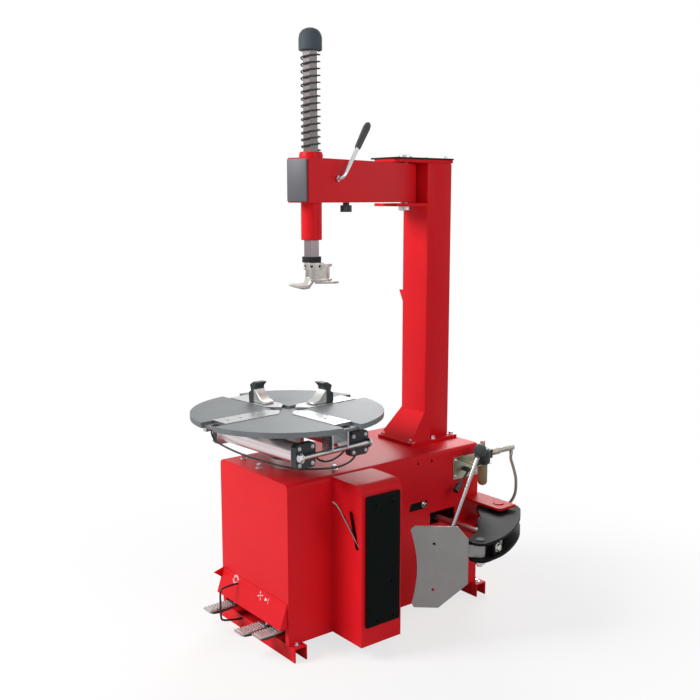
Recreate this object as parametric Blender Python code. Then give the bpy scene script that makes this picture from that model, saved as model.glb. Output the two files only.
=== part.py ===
"""Tire changer: cabinet with pedals, clamping turntable, swing arm with mount head, bead breaker."""

import math

import bmesh
import bpy
from mathutils import Matrix, Vector

for old in list(bpy.data.objects):
    bpy.data.objects.remove(old)

# Metres. The turntable's axis stands at X = Y = 0 of the machine, the operator at -Y, the floor at Z = 0.
# GAP parts pieces that are fixed, RUN those that run, and OVER is how far a cutter runs past a wall.
FRAME_X = 0.1070
FRAME_Y = 0.2320
GAP = 0.0003
RUN = 0.0008
SHEET = 0.003
OVER = 0.02

# Feet and cabinet
FOOT_SIDE = 0.0225
FOOT_DEEP = 0.045
FOOT_HIGH = 0.045
FOOT_WALL = 0.004
FOOT_FRONT_Y = -0.127
FOOT_REAR_Y = 0.632
CAB_HALF = 0.1865
CAB_FRONT = -0.132
CAB_BACK = 0.650
CAB_TOP = 0.5375
CAB_BEND = 0.016
CAB_BOTTOM = FOOT_HIGH + GAP
BELLY_FROM = 0.150
PEDAL_GATE = 0.160
GUARD_TOP = 0.177
GUARD_LOW = 0.100
GUARD_OUT = 0.026
GUARD_INSET = 0.0060

# Wheel rest on the right side, with its pad and the slot for the tire lever
REST_REACH = 0.1405
REST_FRONT = 0.030
REST_BACK = 0.182
REST_BEND = 0.034
PAD_THICK = 0.010
PAD_Y = (0.043, 0.170)
PAD_Z = (0.105, 0.505)
PAD_HOLE = 0.0045
LEVER_SLOT_IN = 0.036
LEVER_SLOT_Z = 0.395
LEVER_SLOT_WIDE = 0.0168
LEVER_HALF = 0.0080
LEVER_SLOT_LONG = 0.115
LEVER_SLOT_TILT = math.radians(16.0)

# Column and yoke
COL_HALF = 0.062
COL_FRONT = 0.518
COL_DEEP = 0.112
COL_WALL = 0.005
COL_HIGH = 0.9187
FLANGE_HALF = 0.086
FLANGE_FRONT = 0.437
FLANGE_BACK = 0.646
FLANGE_THICK = 0.010
WEDGE_FRONT = 0.4385
WEDGE_HALF = 0.080
WEDGE_TOP = 0.642
YOKE_THICK = 0.010
YOKE_REACH = 0.090
YOKE_BEND = 0.022
PIVOT_Y = 0.4735
PIN_R = 0.014
COVER_THICK = 0.005
COVER_LIP = 0.002
TAB_OUT = 0.026
TAB_Z = (0.984, 1.044)

# Swing arm, in its own frame: pivot at the origin, arm along -Y
ARM_SWING = math.radians(17.5)
ARM_HALF = 0.036
ARM_HIGH = 0.1235
ARM_NOSE = 0.061
ARM_WALL = 0.004
ARM_SHIM = 0.003
SHAFT_U = 0.514
SLEEVE_R = 0.030
SLEEVE_DROP = 0.105
BOSS_R = 0.034
BOSS_RISE = 0.0175
HEX_AF = 0.040
LOCK_U = 0.440
LOCK_DOWN = 0.0555
KNOB_U = 0.340
KNOB_R = 0.019
KNOB_LOBE = 0.0025

# Mount shaft above and below the arm
SPRING_LONG = 0.274
SPRING_R = 0.0275
SPRING_WIRE = 0.003
SPRING_TURNS = 14.5
CAP_R = 0.033
CAP_HIGH = 0.060
COLLAR_HIGH = 0.016
COLLAR_R = 0.0275
HEAD_HIGH = 0.060
HEAD_AIM = math.radians(34.0)
HEAD_SHIFT = 0.007
HEAD_RING = 0.0305
HEAD_DROP = 0.1685

# Turntable, in its own frame: slots along X and Y
TABLE_TURN = math.radians(4.4)
TABLE_R = 0.297
TABLE_TOP = 0.711
TABLE_THICK = 0.016
GROOVE_DEEP = 0.008
SLOT_WIDE = 0.036
SLOT_IN = 0.060
SLOT_RIM = 0.019
NOTCH_DEEP = 0.012
SLIDE_HALF = 0.033
SLIDE_HIGH = 0.0100
SLIDE_IN = 0.032
SLIDE_RIM = 0.043
NECK_IN = 0.112
NECK_BACK = 0.054
UNDER_THICK = 0.009
UNDER_DROP = 0.0015
JAW_HALF = 0.019
JAW_BACK = 0.080
CYL_Y = 0.105
CYL_Z = 0.626
CYL_R = 0.030
CYL_BORE = 0.026
CYL_RIM_LEFT = 0.119
CYL_RIM_RIGHT = 0.107
CAP_LONG = 0.022
CAP_HALF = 0.0365
CAP_BEVEL = 0.008
CLAMP_ROD_R = 0.010
CROSS_RIM = 0.027
TIE_RIM = 0.075
TIE_R = 0.008
HUB_R = 0.050
SPINDLE_R = 0.026

# Drive inside the cabinet
GEAR_R = 0.100
GEAR_HIGH = 0.120
NECK_R = 0.056
NECK_RISE = 0.030
WORM_Y = 0.070
WORM_Z = 0.446
WORM_R = 0.012
WORM_IN = -0.040
MOTOR_Y = 0.270
MOTOR_Z = 0.285
MOTOR_R = 0.068
MOTOR_SHAFT_R = 0.0095
MOTOR_LONG = 0.208
MOTOR_SPACE = 0.030
PULLEY_SPACE = 0.0255
PULLEY_HALF = 0.010
PULLEY_BIG = 0.055
PULLEY_SMALL = 0.026
PULLEY_LIP = 0.005
BELT_HALF = 0.0065
BELT_THICK = 0.006

# Bead breaker on the right side
LUG_TOP = 0.364
LUG_THICK = 0.008
LUG_REACH = 0.168
LUG_Y = (0.578, 0.656)
BREAK_OUT = 0.1255
BREAK_Y = 0.620
BREAK_PIN_R = 0.015
BREAK_HUB_R = 0.032
ARM_PLATE = 0.008
ARM_PLATE_TOP = 0.347
ARM_PLATE_GAP = 0.044
BLADE_PIN_AT = (0.166, -0.258)
BLADE_PIN_R = 0.008
BLADE_CORNER_AT = (0.043, -0.426)
BLADE_TURN = math.radians(48.7)
BLADE_THICK = 0.008
BLADE_TOP = 0.392
BLADE_LOW = 0.138
BLADE_WIDE = 0.172
HANDLE_R = 0.0065
ROD_PIN_OUT = 0.133
ROD_PIN_R = 0.009
ROD_EYE_PLAY = 0.0070
RAM_SPACE = 0.0515
RAM_Y = 0.462
RAM_R = 0.060
RAM_BORE = 0.053
RAM_LONG = 0.245
RAM_ROD_R = 0.011
RAM_PIN_R = 0.010

# Air service unit at the rear
UNIT_OUT = 0.0655
UNIT_Y = 0.602
SHELF_TOP = 0.490
UNIT_HIGH = 0.050
UNIT_R = 0.026
BOWL_R = 0.0160
BOWL_LONG = 0.070
COUPLER_Z = 0.520
COUPLER_END = 0.750
HOSE_R = 0.005

# Pedals
PEDAL_X = (-0.110, 0.084, 0.136)
PEDAL_WIDE = 0.040
PEDAL_DEEP = 0.092
PEDAL_FRONT = (-0.238, -0.244, -0.216)
PEDAL_RIBS = 9
PEDAL_TOP = 0.086
TREAD = 0.005
PEDAL_AXIS_Y = 0.036
PEDAL_AXIS_Z = 0.090
PEDAL_SHAFT_R = 0.008
PEDAL_HUB_R = 0.016
PEDAL_ARM = 0.014
RAIL_R = 0.0032

FOOT_HALF = CAB_HALF + FOOT_SIDE
GUARD_HALF = CAB_HALF - GUARD_INSET
REST_OUT = CAB_HALF + REST_REACH
LEVER_SLOT = (REST_OUT - LEVER_SLOT_IN, LEVER_SLOT_Z)
ARM_FRONT = SHAFT_U + ARM_NOSE
SLOT_OUT = TABLE_R - SLOT_RIM
SLIDE_OUT = TABLE_R - SLIDE_RIM
NECK_OUT = SLIDE_OUT - NECK_BACK
CYL_LEFT = CYL_RIM_LEFT - TABLE_R
CYL_RIGHT = TABLE_R - CYL_RIM_RIGHT
CROSS_X = TABLE_R - CROSS_RIM
TIE_X = TABLE_R - TIE_RIM
PULLEY_X = SHEET + PULLEY_SPACE - CAB_HALF
MOTOR_X = (PULLEY_X + MOTOR_SPACE, PULLEY_X + MOTOR_SPACE + MOTOR_LONG)
LUG_TIP = CAB_HALF + LUG_REACH
BREAK_X = CAB_HALF + BREAK_OUT
BLADE_PIN = (BREAK_X + BLADE_PIN_AT[0], BREAK_Y + BLADE_PIN_AT[1])
BLADE_CORNER = (BREAK_X + BLADE_CORNER_AT[0], BREAK_Y + BLADE_CORNER_AT[1])
ROD_PIN = (BREAK_X + ROD_PIN_OUT, RAM_Y)
RAM_X = RAM_SPACE - CAB_HALF
UNIT_X = CAB_HALF + UNIT_OUT
FLANGE_LOW = CAB_TOP + GAP
FLANGE_TOP = FLANGE_LOW + FLANGE_THICK
COL_TOP = FLANGE_TOP + COL_HIGH
ARM_TOP = COL_TOP - ARM_SHIM
ARM_LOW = ARM_TOP - ARM_HIGH
HEAD_TOP = ARM_LOW - HEAD_DROP
LOCK_Z = ARM_TOP - LOCK_DOWN
YOKE_LOW = ARM_LOW - ARM_SHIM
BOSS_TOP = ARM_TOP + BOSS_RISE
COL_BACK = COL_FRONT + COL_DEEP
COVER_LOW = COL_TOP + YOKE_THICK + GAP
HEX_R = HEX_AF / math.sqrt(3.0)
HEX_TOP = BOSS_TOP + SPRING_LONG
TABLE_LOW = TABLE_TOP - TABLE_THICK
GROOVE_LOW = TABLE_TOP - GROOVE_DEEP
GROOVE_HALF = SLIDE_HALF + RUN
NOTCH_HALF = GROOVE_HALF - 0.003
SLIDE_TOP = GROOVE_LOW + GAP + SLIDE_HIGH
GEAR_TOP = CAB_TOP - SHEET - GAP
ROD_Z = ARM_PLATE_TOP - ARM_PLATE - ARM_PLATE_GAP / 2.0

machine = bpy.data.objects.new("machine", None)
bpy.context.collection.objects.link(machine)
machine.location = (-FRAME_X, -FRAME_Y, 0.0)
arm_frame = bpy.data.objects.new("arm_frame", None)
bpy.context.collection.objects.link(arm_frame)
arm_frame.parent = machine
arm_frame.location = (0.0, PIVOT_Y, 0.0)
arm_frame.rotation_euler = (0.0, 0.0, ARM_SWING)
table_frame = bpy.data.objects.new("table_frame", None)
bpy.context.collection.objects.link(table_frame)
table_frame.parent = machine
table_frame.rotation_euler = (0.0, 0.0, TABLE_TURN)


def paint(name, rgb, metal=0.0, rough=0.5):
    found = bpy.data.materials.get(name)
    if found:
        return found
    made = bpy.data.materials.new(name)
    made.use_nodes = True
    shader = made.node_tree.nodes["Principled BSDF"]
    shader.inputs["Base Color"].default_value = (*rgb, 1.0)
    shader.inputs["Metallic"].default_value = metal
    shader.inputs["Roughness"].default_value = rough
    return made


RED = ("red_paint", (0.72, 0.025, 0.03), 0.0, 0.35)
BLACK = ("black_paint", (0.015, 0.015, 0.015), 0.0, 0.4)
RUBBER = ("rubber", (0.02, 0.02, 0.02), 0.0, 0.8)
STEEL = ("steel", (0.55, 0.55, 0.56), 1.0, 0.35)
ALLOY = ("alloy", (0.70, 0.70, 0.70), 1.0, 0.4)
ZINC = ("zinc_plate", (0.60, 0.60, 0.45), 1.0, 0.4)
AMBER = ("amber_plastic", (0.45, 0.36, 0.22), 0.0, 0.3)
GREY = ("grey_plastic", (0.35, 0.35, 0.35), 0.0, 0.6)


def place(name, verts, faces, look, parent=machine):
    """One closed mesh as a named object, with its faces turned outward."""
    mesh = bpy.data.meshes.new(name)
    mesh.from_pydata([tuple(v) for v in verts], [], faces)
    work = bmesh.new()
    work.from_mesh(mesh)
    bmesh.ops.recalc_face_normals(work, faces=work.faces)
    work.to_mesh(mesh)
    work.free()
    mesh.materials.append(paint(*look))
    obj = bpy.data.objects.new(name, mesh)
    bpy.context.collection.objects.link(obj)
    obj.parent = parent
    return obj


def prism(name, outline, lo, hi, axis, look=STEEL, parent=machine):
    """A flat outline drawn out along one axis: X takes (y, z), Y takes (x, z), Z takes (x, y)."""
    turn = {
        "X": lambda u, v, w: (w, u, v),
        "Y": lambda u, v, w: (u, w, v),
        "Z": lambda u, v, w: (u, v, w),
    }[axis]
    count = len(outline)
    verts = [turn(u, v, lo) for u, v in outline] + [turn(u, v, hi) for u, v in outline]
    faces = [tuple(range(count)), tuple(range(count, 2 * count))]
    for i in range(count):
        j = (i + 1) % count
        faces.append((i, j, j + count, i + count))
    return place(name, verts, faces, look, parent)


def box(name, x, y, z, look=STEEL, parent=machine):
    outline = [(x[0], y[0]), (x[1], y[0]), (x[1], y[1]), (x[0], y[1])]
    return prism(name, outline, z[0], z[1], "Z", look, parent)


def circle(u, v, r, count=24, start=0.0, sweep=2.0 * math.pi):
    steps = count if sweep >= 2.0 * math.pi else count + 1
    return [
        (u + r * math.cos(start + sweep * i / count), v + r * math.sin(start + sweep * i / count))
        for i in range(steps)
    ]


def disc(name, centre, r, lo, hi, axis, look=STEEL, parent=machine, count=24):
    return prism(name, circle(centre[0], centre[1], r, count), lo, hi, axis, look, parent)


def lathe(name, profile, centre, axis="Z", look=STEEL, parent=machine, count=24):
    """A profile of (radius, height) pairs turned about an axis through centre; both ends close on it."""
    cx, cy, cz = centre
    put = {
        "X": lambda a, b, h: (cx + h, cy + a, cz + b),
        "Y": lambda a, b, h: (cx + a, cy + h, cz + b),
        "Z": lambda a, b, h: (cx + a, cy + b, cz + h),
    }[axis]
    verts = []
    rings = []
    for r, h in profile:
        ring = []
        for i in range(count):
            angle = 2.0 * math.pi * i / count
            ring.append(len(verts))
            verts.append(put(r * math.cos(angle), r * math.sin(angle), h))
        rings.append(ring)
    faces = [tuple(rings[0]), tuple(rings[-1])]
    for low, high in zip(rings, rings[1:]):
        for i in range(count):
            j = (i + 1) % count
            faces.append((low[i], low[j], high[j], high[i]))
    return place(name, verts, faces, look, parent)


def bar(name, path, across, look=STEEL, parent=machine, count=12, flat=1.0):
    """A round or flattened bar swept along a path, closed at both ends."""
    points = [Vector(p) for p in path]
    verts = []
    faces = []
    side = None
    for i, point in enumerate(points):
        ahead = points[min(i + 1, len(points) - 1)] - points[max(i - 1, 0)]
        ahead.normalize()
        if side is None:
            side = ahead.cross(Vector((0.0, 0.0, 1.0)))
            if side.length < 0.05:
                side = Vector((1.0, 0.0, 0.0))
        side = (side - ahead * side.dot(ahead)).normalized()
        other = ahead.cross(side)
        for k in range(count):
            angle = 2.0 * math.pi * k / count
            verts.append(point + side * across * math.cos(angle) + other * across * flat * math.sin(angle))
    for i in range(len(points) - 1):
        for k in range(count):
            m = (k + 1) % count
            faces.append((i * count + k, i * count + m, (i + 1) * count + m, (i + 1) * count + k))
    faces.append(tuple(range(count)))
    faces.append(tuple(range((len(points) - 1) * count, len(points) * count)))
    return place(name, verts, faces, look, parent)


def taper(name, knots, look=STEEL, parent=machine, count=16):
    """A round bar of changing thickness, from (point, radius) pairs."""
    made = bar(name, [p for p, r in knots], 1.0, look, parent, count)
    for i, (point, r) in enumerate(knots):
        for vert in made.data.vertices[i * count:(i + 1) * count]:
            vert.co = Vector(point) + (vert.co - Vector(point)) * r
    return made


def smooth(knots, parts=6):
    """Points of a smooth curve through the knots."""
    points = [Vector(k) for k in knots]
    ends = [points[0] * 2.0 - points[1], *points, points[-1] * 2.0 - points[-2]]
    found = []
    for i in range(1, len(ends) - 2):
        a, b, c, d = ends[i - 1], ends[i], ends[i + 1], ends[i + 2]
        for k in range(parts):
            t = k / parts
            found.append(
                (b * 2.0 + (c - a) * t + (a * 2.0 - b * 5.0 + c * 4.0 - d) * t * t
                 + (b * 3.0 - a - c * 3.0 + d) * t * t * t) * 0.5
            )
    found.append(points[-1])
    return found


def cord(name, points, r, look, parent=machine, sides=2):
    """A hose or wire as a round tube along its points."""
    curve = bpy.data.curves.new(name, "CURVE")
    curve.dimensions = "3D"
    curve.bevel_depth = r
    curve.bevel_resolution = sides
    curve.use_fill_caps = True
    line = curve.splines.new("POLY")
    line.points.add(len(points) - 1)
    for knot, point in zip(line.points, points):
        knot.co = (*point, 1.0)
    curve.materials.append(paint(*look))
    obj = bpy.data.objects.new(name, curve)
    bpy.context.collection.objects.link(obj)
    obj.parent = parent
    return obj


def shape(obj, way, tools):
    for tool in tools:
        step = obj.modifiers.new(way.lower(), "BOOLEAN")
        step.operation = way
        step.solver = "EXACT"
        step.object = tool
        tool.hide_render = True
        tool.display_type = "WIRE"
        tool.parent = obj.parent
    return obj


def cut(obj, *tools):
    return shape(obj, "DIFFERENCE", tools)


def join(obj, *tools):
    return shape(obj, "UNION", tools)


def soften(obj, width, segments=2):
    step = obj.modifiers.new("edges", "BEVEL")
    step.width = width
    step.segments = segments
    step.limit_method = "ANGLE"
    step.angle_limit = math.radians(40.0)
    return obj


def hinge_at(obj, point):
    """Moves a piece's origin onto its joint without moving the piece."""
    obj.data.transform(Matrix.Translation(-Vector(point)))
    obj.location = point
    return obj


def rounded_top(x0, x1, low, high, left, right, count=5):
    outline = [(x0, low), (x1, low)]
    if right > 0.0:
        outline += circle(x1 - right, high - right, right, count, 0.0, math.pi / 2.0)
    else:
        outline.append((x1, high))
    if left > 0.0:
        outline += circle(x0 + left, high - left, left, count, math.pi / 2.0, math.pi / 2.0)
    else:
        outline.append((x0, high))
    return outline


def hull(points):
    """The convex outline round a set of flat points."""
    ordered = sorted(set(points))
    halves = []
    for run in (ordered, ordered[::-1]):
        side = []
        for p in run:
            while len(side) > 1 and (
                (side[-1][0] - side[-2][0]) * (p[1] - side[-2][1])
                - (side[-1][1] - side[-2][1]) * (p[0] - side[-2][0])
            ) <= 0.0:
                side.pop()
            side.append(p)
        halves += side[:-1]
    return halves


# Feet: two channels with the open side down
def foot(name, front):
    y0, y1 = front, front + FOOT_DEEP
    wall = FOOT_WALL
    outline = [(y0, 0.0), (y0 + wall, 0.0), (y0 + wall, FOOT_HIGH - wall), (y1 - wall, FOOT_HIGH - wall)]
    outline += [(y1 - wall, 0.0), (y1, 0.0), (y1, FOOT_HIGH), (y0, FOOT_HIGH)]
    return prism(name, outline, -FOOT_HALF, FOOT_HALF, "X", RED)


foot("foot_front", FOOT_FRONT_Y)
foot("foot_rear", FOOT_REAR_Y)

# Cabinet: folded sheet box, open below and at the pedals
cabinet = prism(
    "cabinet",
    rounded_top(-CAB_HALF, CAB_HALF, CAB_BOTTOM, CAB_TOP, CAB_BEND, CAB_BEND),
    CAB_FRONT, CAB_BACK, "Y", RED,
)
cut(
    cabinet,
    prism(
        "cabinet_inside",
        rounded_top(
            -CAB_HALF + SHEET, CAB_HALF - SHEET, CAB_BOTTOM - OVER, CAB_TOP - SHEET,
            CAB_BEND - SHEET, CAB_BEND - SHEET,
        ),
        CAB_FRONT + SHEET, CAB_BACK - SHEET, "Y",
    ),
    box("pedal_gate", (-GUARD_HALF + 0.012, GUARD_HALF - 0.012), (CAB_FRONT - OVER, CAB_FRONT + OVER),
        (CAB_BOTTOM - OVER, PEDAL_GATE)),
    disc("spindle_gate", (0.0, 0.0), NECK_R + RUN, CAB_TOP - OVER, CAB_TOP + OVER, "Z", count=32),
    box("rod_gate", (CAB_HALF - OVER, CAB_HALF + OVER), (RAM_Y - 0.032, RAM_Y + 0.080),
        (ROD_Z - 0.020, ROD_Z + 0.020)),
    prism("side_slot", [(0.338, 0.358), (0.412, 0.358), (0.421, 0.384), (0.347, 0.384)],
          CAB_HALF - OVER, CAB_HALF + OVER, "X"),
    *[
        disc(f"side_hole_{i}", (y, 0.512), 0.004, CAB_HALF - OVER, CAB_HALF + OVER, "X", count=12)
        for i, y in enumerate((0.375, 0.436))
    ],
)

join(
    cabinet,
    box("belly_sheet", (-CAB_HALF + SHEET - 0.001, CAB_HALF - SHEET + 0.001),
        (BELLY_FROM, CAB_BACK - SHEET + 0.001), (CAB_BOTTOM + 0.006, CAB_BOTTOM + 0.006 + SHEET)),
)

# Guard over the pedals: a sloping sheet with a cheek at its left end
guard_y = CAB_FRONT - GAP
guard = prism(
    "pedal_guard",
    [(guard_y, GUARD_TOP), (guard_y - GUARD_OUT, GUARD_LOW),
     (guard_y - GUARD_OUT + SHEET, GUARD_LOW - 0.001), (guard_y, GUARD_TOP - SHEET * 3.0)],
    -GUARD_HALF, GUARD_HALF, "X", RED,
)
join(
    guard,
    prism("guard_cheek", [(guard_y, GUARD_TOP), (guard_y - 0.036, GUARD_TOP - 0.010),
                          (guard_y, GUARD_TOP - 0.038)],
          -GUARD_HALF - SHEET, -GUARD_HALF + 0.0005, "X"),
    prism("guard_end", [(guard_y, GUARD_TOP - 0.004), (guard_y - GUARD_OUT + 0.001, GUARD_LOW),
                        (guard_y, GUARD_LOW)],
          GUARD_HALF - SHEET, GUARD_HALF, "X"),
)

# Wheel rest: a folded box on the right side, open toward the cabinet and below
rest = prism(
    "wheel_rest",
    rounded_top(CAB_HALF + GAP, REST_OUT, CAB_BOTTOM, CAB_TOP - 0.003, 0.0, REST_BEND),
    REST_FRONT, REST_BACK, "Y", RED,
)
slot_u = LEVER_SLOT_LONG / 2.0 - LEVER_SLOT_WIDE / 2.0
slot_outline = []
for end, start in ((1.0, 0.0), (-1.0, math.pi)):
    cx = LEVER_SLOT[0] - end * slot_u * math.sin(LEVER_SLOT_TILT)
    cz = LEVER_SLOT[1] + end * slot_u * math.cos(LEVER_SLOT_TILT)
    slot_outline += circle(cx, cz, LEVER_SLOT_WIDE / 2.0, 8, start + LEVER_SLOT_TILT, math.pi)
cut(
    rest,
    prism("rest_inside",
          rounded_top(CAB_HALF - OVER, REST_OUT - SHEET, CAB_BOTTOM - OVER, CAB_TOP - 0.003 - SHEET, 0.0,
                      REST_BEND - SHEET),
          REST_FRONT + SHEET, REST_BACK - SHEET, "Y"),
    prism("lever_gate", slot_outline, REST_FRONT - 0.01, REST_FRONT + 0.01, "Y"),
)
pad = soften(box("rest_pad", (REST_OUT + GAP, REST_OUT + GAP + PAD_THICK), PAD_Y, PAD_Z, RUBBER), 0.003)
for index, (hy, hz) in enumerate(((0.030, 0.030), (0.092, 0.030), (0.092, 0.275), (0.038, 0.384),
                                  (0.098, 0.384))):
    cut(pad, disc(f"pad_hole_{index}", (PAD_Y[0] + hy, PAD_Z[1] - hz), PAD_HOLE, REST_OUT - 0.01,
                  REST_OUT + 0.03, "X", count=12))

# Tire lever kept in the slot of the wheel rest
slot_axis = Vector((-0.25, -0.36, 0.90)).normalized()
slot_low = slot_u - 0.020
slot_point = Vector((LEVER_SLOT[0] + slot_low * math.sin(LEVER_SLOT_TILT), REST_FRONT + SHEET / 2.0,
                     LEVER_SLOT[1] - slot_low * math.cos(LEVER_SLOT_TILT)))
lever_path = [slot_point + slot_axis * t for t in (-0.070, -0.03, 0.0, 0.060, 0.110)]
lever_path.append(slot_point + slot_axis * 0.124 + Vector((-0.004, 0.0, -0.001)))
lever_path.append(slot_point + slot_axis * 0.134 + Vector((-0.012, 0.0, -0.004)))
bar("tire_lever", lever_path, LEVER_HALF, STEEL, count=10, flat=0.45)

# Column: box section on a flange, with a wedge in front and the yoke at its top
column = box("column", (-COL_HALF, COL_HALF), (COL_FRONT, COL_BACK), (FLANGE_TOP - 0.004, COL_TOP + 0.004),
             RED)
soften(column, 0.010)
wedge = place(
    "wedge",
    [(-WEDGE_HALF, WEDGE_FRONT, FLANGE_TOP - 0.002), (WEDGE_HALF, WEDGE_FRONT, FLANGE_TOP - 0.002),
     (WEDGE_HALF, COL_FRONT + 0.012, FLANGE_TOP - 0.002),
     (-WEDGE_HALF, COL_FRONT + 0.012, FLANGE_TOP - 0.002),
     (-COL_HALF + 0.004, COL_FRONT + 0.004, WEDGE_TOP), (COL_HALF - 0.004, COL_FRONT + 0.004, WEDGE_TOP),
     (COL_HALF - 0.004, COL_FRONT + 0.012, WEDGE_TOP), (-COL_HALF + 0.004, COL_FRONT + 0.012, WEDGE_TOP)],
    [(0, 1, 2, 3), (4, 5, 6, 7), (0, 1, 5, 4), (1, 2, 6, 5), (2, 3, 7, 6), (3, 0, 4, 7)],
    RED,
)


def yoke(name, low):
    back = COL_FRONT + 0.020
    front = PIVOT_Y - YOKE_REACH
    outline = [(COL_HALF, back), (-COL_HALF, back)]
    outline += circle(-COL_HALF + YOKE_BEND, front + YOKE_BEND, YOKE_BEND, 4, math.pi, math.pi / 2.0)
    outline += circle(COL_HALF - YOKE_BEND, front + YOKE_BEND, YOKE_BEND, 4, 1.5 * math.pi, math.pi / 2.0)
    return prism(name, outline, low, low + YOKE_THICK, "Z", RED)


join(
    column,
    box("flange", (-FLANGE_HALF, FLANGE_HALF), (FLANGE_FRONT, FLANGE_BACK), (FLANGE_LOW, FLANGE_TOP)),
    wedge,
    yoke("yoke_low", YOKE_LOW - YOKE_THICK),
    yoke("yoke_top", COL_TOP),
    box("column_lid", (-COL_HALF, COL_HALF), (COL_FRONT + 0.001, COL_BACK),
        (COL_TOP, COL_TOP + YOKE_THICK)),
    prism("lever_tab", [(0.002 - COL_HALF, TAB_Z[0]), (-COL_HALF - TAB_OUT, TAB_Z[1]),
                        (0.002 - COL_HALF, TAB_Z[1])],
          COL_FRONT + 0.012, COL_FRONT + 0.017, "Y"),
)
cut(
    column,
    box("column_inside", (-COL_HALF + COL_WALL, COL_HALF - COL_WALL),
        (COL_FRONT + COL_WALL + 0.008, COL_BACK - COL_WALL), (FLANGE_LOW - 0.01, COL_TOP - 0.010)),
    disc("yoke_bore", (0.0, PIVOT_Y), PIN_R + GAP, YOKE_LOW - 0.03, COL_TOP + 0.03, "Z"),
)
cover = box("column_cover", (-COL_HALF - COVER_LIP, COL_HALF + COVER_LIP),
            (PIVOT_Y - YOKE_REACH - COVER_LIP, COL_BACK + COVER_LIP),
            (COVER_LOW, COVER_LOW + COVER_THICK), BLACK)
cut(cover, disc("cover_bore", (0.0, PIVOT_Y), PIN_R + GAP, COVER_LOW - 0.01, COVER_LOW + 0.01, "Z"))
pin_low = YOKE_LOW - YOKE_THICK - GAP
pin_head = COVER_LOW + COVER_THICK + GAP
lathe(
    "arm_pin",
    [(0.012, pin_low - 0.015), (0.021, pin_low - 0.012), (0.021, pin_low), (PIN_R, pin_low),
     (PIN_R, pin_head), (0.024, pin_head), (0.024, pin_head + 0.007), (0.020, pin_head + 0.010)],
    (0.0, PIVOT_Y, 0.0), "Z", STEEL,
)

# Swing arm: box section with a round rear end and a guide sleeve for the shaft
arm_outline = circle(0.0, 0.0, ARM_HALF, 12, 0.0, math.pi) + [(-ARM_HALF, -ARM_FRONT),
                                                              (ARM_HALF, -ARM_FRONT)]
arm = prism("swing_arm", arm_outline, ARM_LOW, ARM_TOP, "Z", RED, arm_frame)
cut(arm, box("arm_inside", (-ARM_HALF + ARM_WALL, ARM_HALF - ARM_WALL), (-ARM_FRONT - OVER, -0.060),
             (ARM_LOW + ARM_WALL, ARM_TOP - ARM_WALL)))
join(
    arm,
    lathe("sleeve",
          [(SLEEVE_R - 0.002, ARM_LOW - SLEEVE_DROP), (SLEEVE_R, ARM_LOW - SLEEVE_DROP + 0.002),
           (SLEEVE_R, ARM_TOP - 0.001), (BOSS_R, ARM_TOP - 0.001), (BOSS_R, BOSS_TOP - 0.006),
           (BOSS_R - 0.003, BOSS_TOP)],
          (0.0, -SHAFT_U, 0.0), "Z"),
)
cut(
    arm,
    disc("sleeve_bore", (0.0, -SHAFT_U), HEX_R + RUN, ARM_LOW - SLEEVE_DROP - OVER, BOSS_TOP + OVER, "Z"),
    disc("arm_bore", (0.0, 0.0), PIN_R + GAP, ARM_LOW - OVER, ARM_TOP + OVER, "Z"),
)
soften(
    box("arm_end_cover", (-ARM_HALF + 0.002, ARM_HALF - 0.002), (-ARM_FRONT - 0.008, -ARM_FRONT - GAP),
        (ARM_LOW + 0.003, ARM_TOP - 0.003), GREY, arm_frame),
    0.003,
)
lock = bar(
    "lock_lever",
    smooth([(ARM_HALF + 0.004, -LOCK_U, LOCK_Z), (0.050, -LOCK_U, LOCK_Z + 0.001),
            (0.058, -LOCK_U + 0.006, LOCK_Z + 0.008),
            (0.060, -LOCK_U + 0.020, LOCK_Z + 0.025), (0.060, -LOCK_U + 0.074, LOCK_Z + 0.092)], 3),
    0.0060, STEEL, arm_frame,
)
join(
    lock,
    disc("lock_hub", (-LOCK_U, LOCK_Z), 0.0085, ARM_HALF + GAP, ARM_HALF + 0.008, "X", count=16),
    taper("lock_grip", [((0.060, -LOCK_U + 0.070, LOCK_Z + 0.087), 0.0075),
                        ((0.060, -LOCK_U + 0.073, LOCK_Z + 0.0908), 0.0092),
                        ((0.060, -LOCK_U + 0.092, LOCK_Z + 0.1145), 0.0100),
                        ((0.060, -LOCK_U + 0.118, LOCK_Z + 0.1468), 0.0112),
                        ((0.060, -LOCK_U + 0.126, LOCK_Z + 0.1568), 0.0098),
                        ((0.060, -LOCK_U + 0.130, LOCK_Z + 0.1618), 0.0055)]),
)
hinge_at(lock, (0.0, -LOCK_U, LOCK_Z))
lobes = []
for i in range(36):
    angle = 2.0 * math.pi * i / 36
    out = KNOB_R - KNOB_LOBE + KNOB_LOBE * math.cos(6.0 * angle)
    lobes.append((out * math.cos(angle), out * math.sin(angle) - KNOB_U))
knob = prism("arm_knob", lobes, ARM_LOW - 0.028, ARM_LOW - 0.008, "Z", BLACK, arm_frame)
join(knob, disc("knob_neck", (0.0, -KNOB_U), 0.010, ARM_LOW - 0.012, ARM_LOW - GAP, "Z", count=16))
hinge_at(knob, (0.0, -KNOB_U, 0.0))

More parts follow.
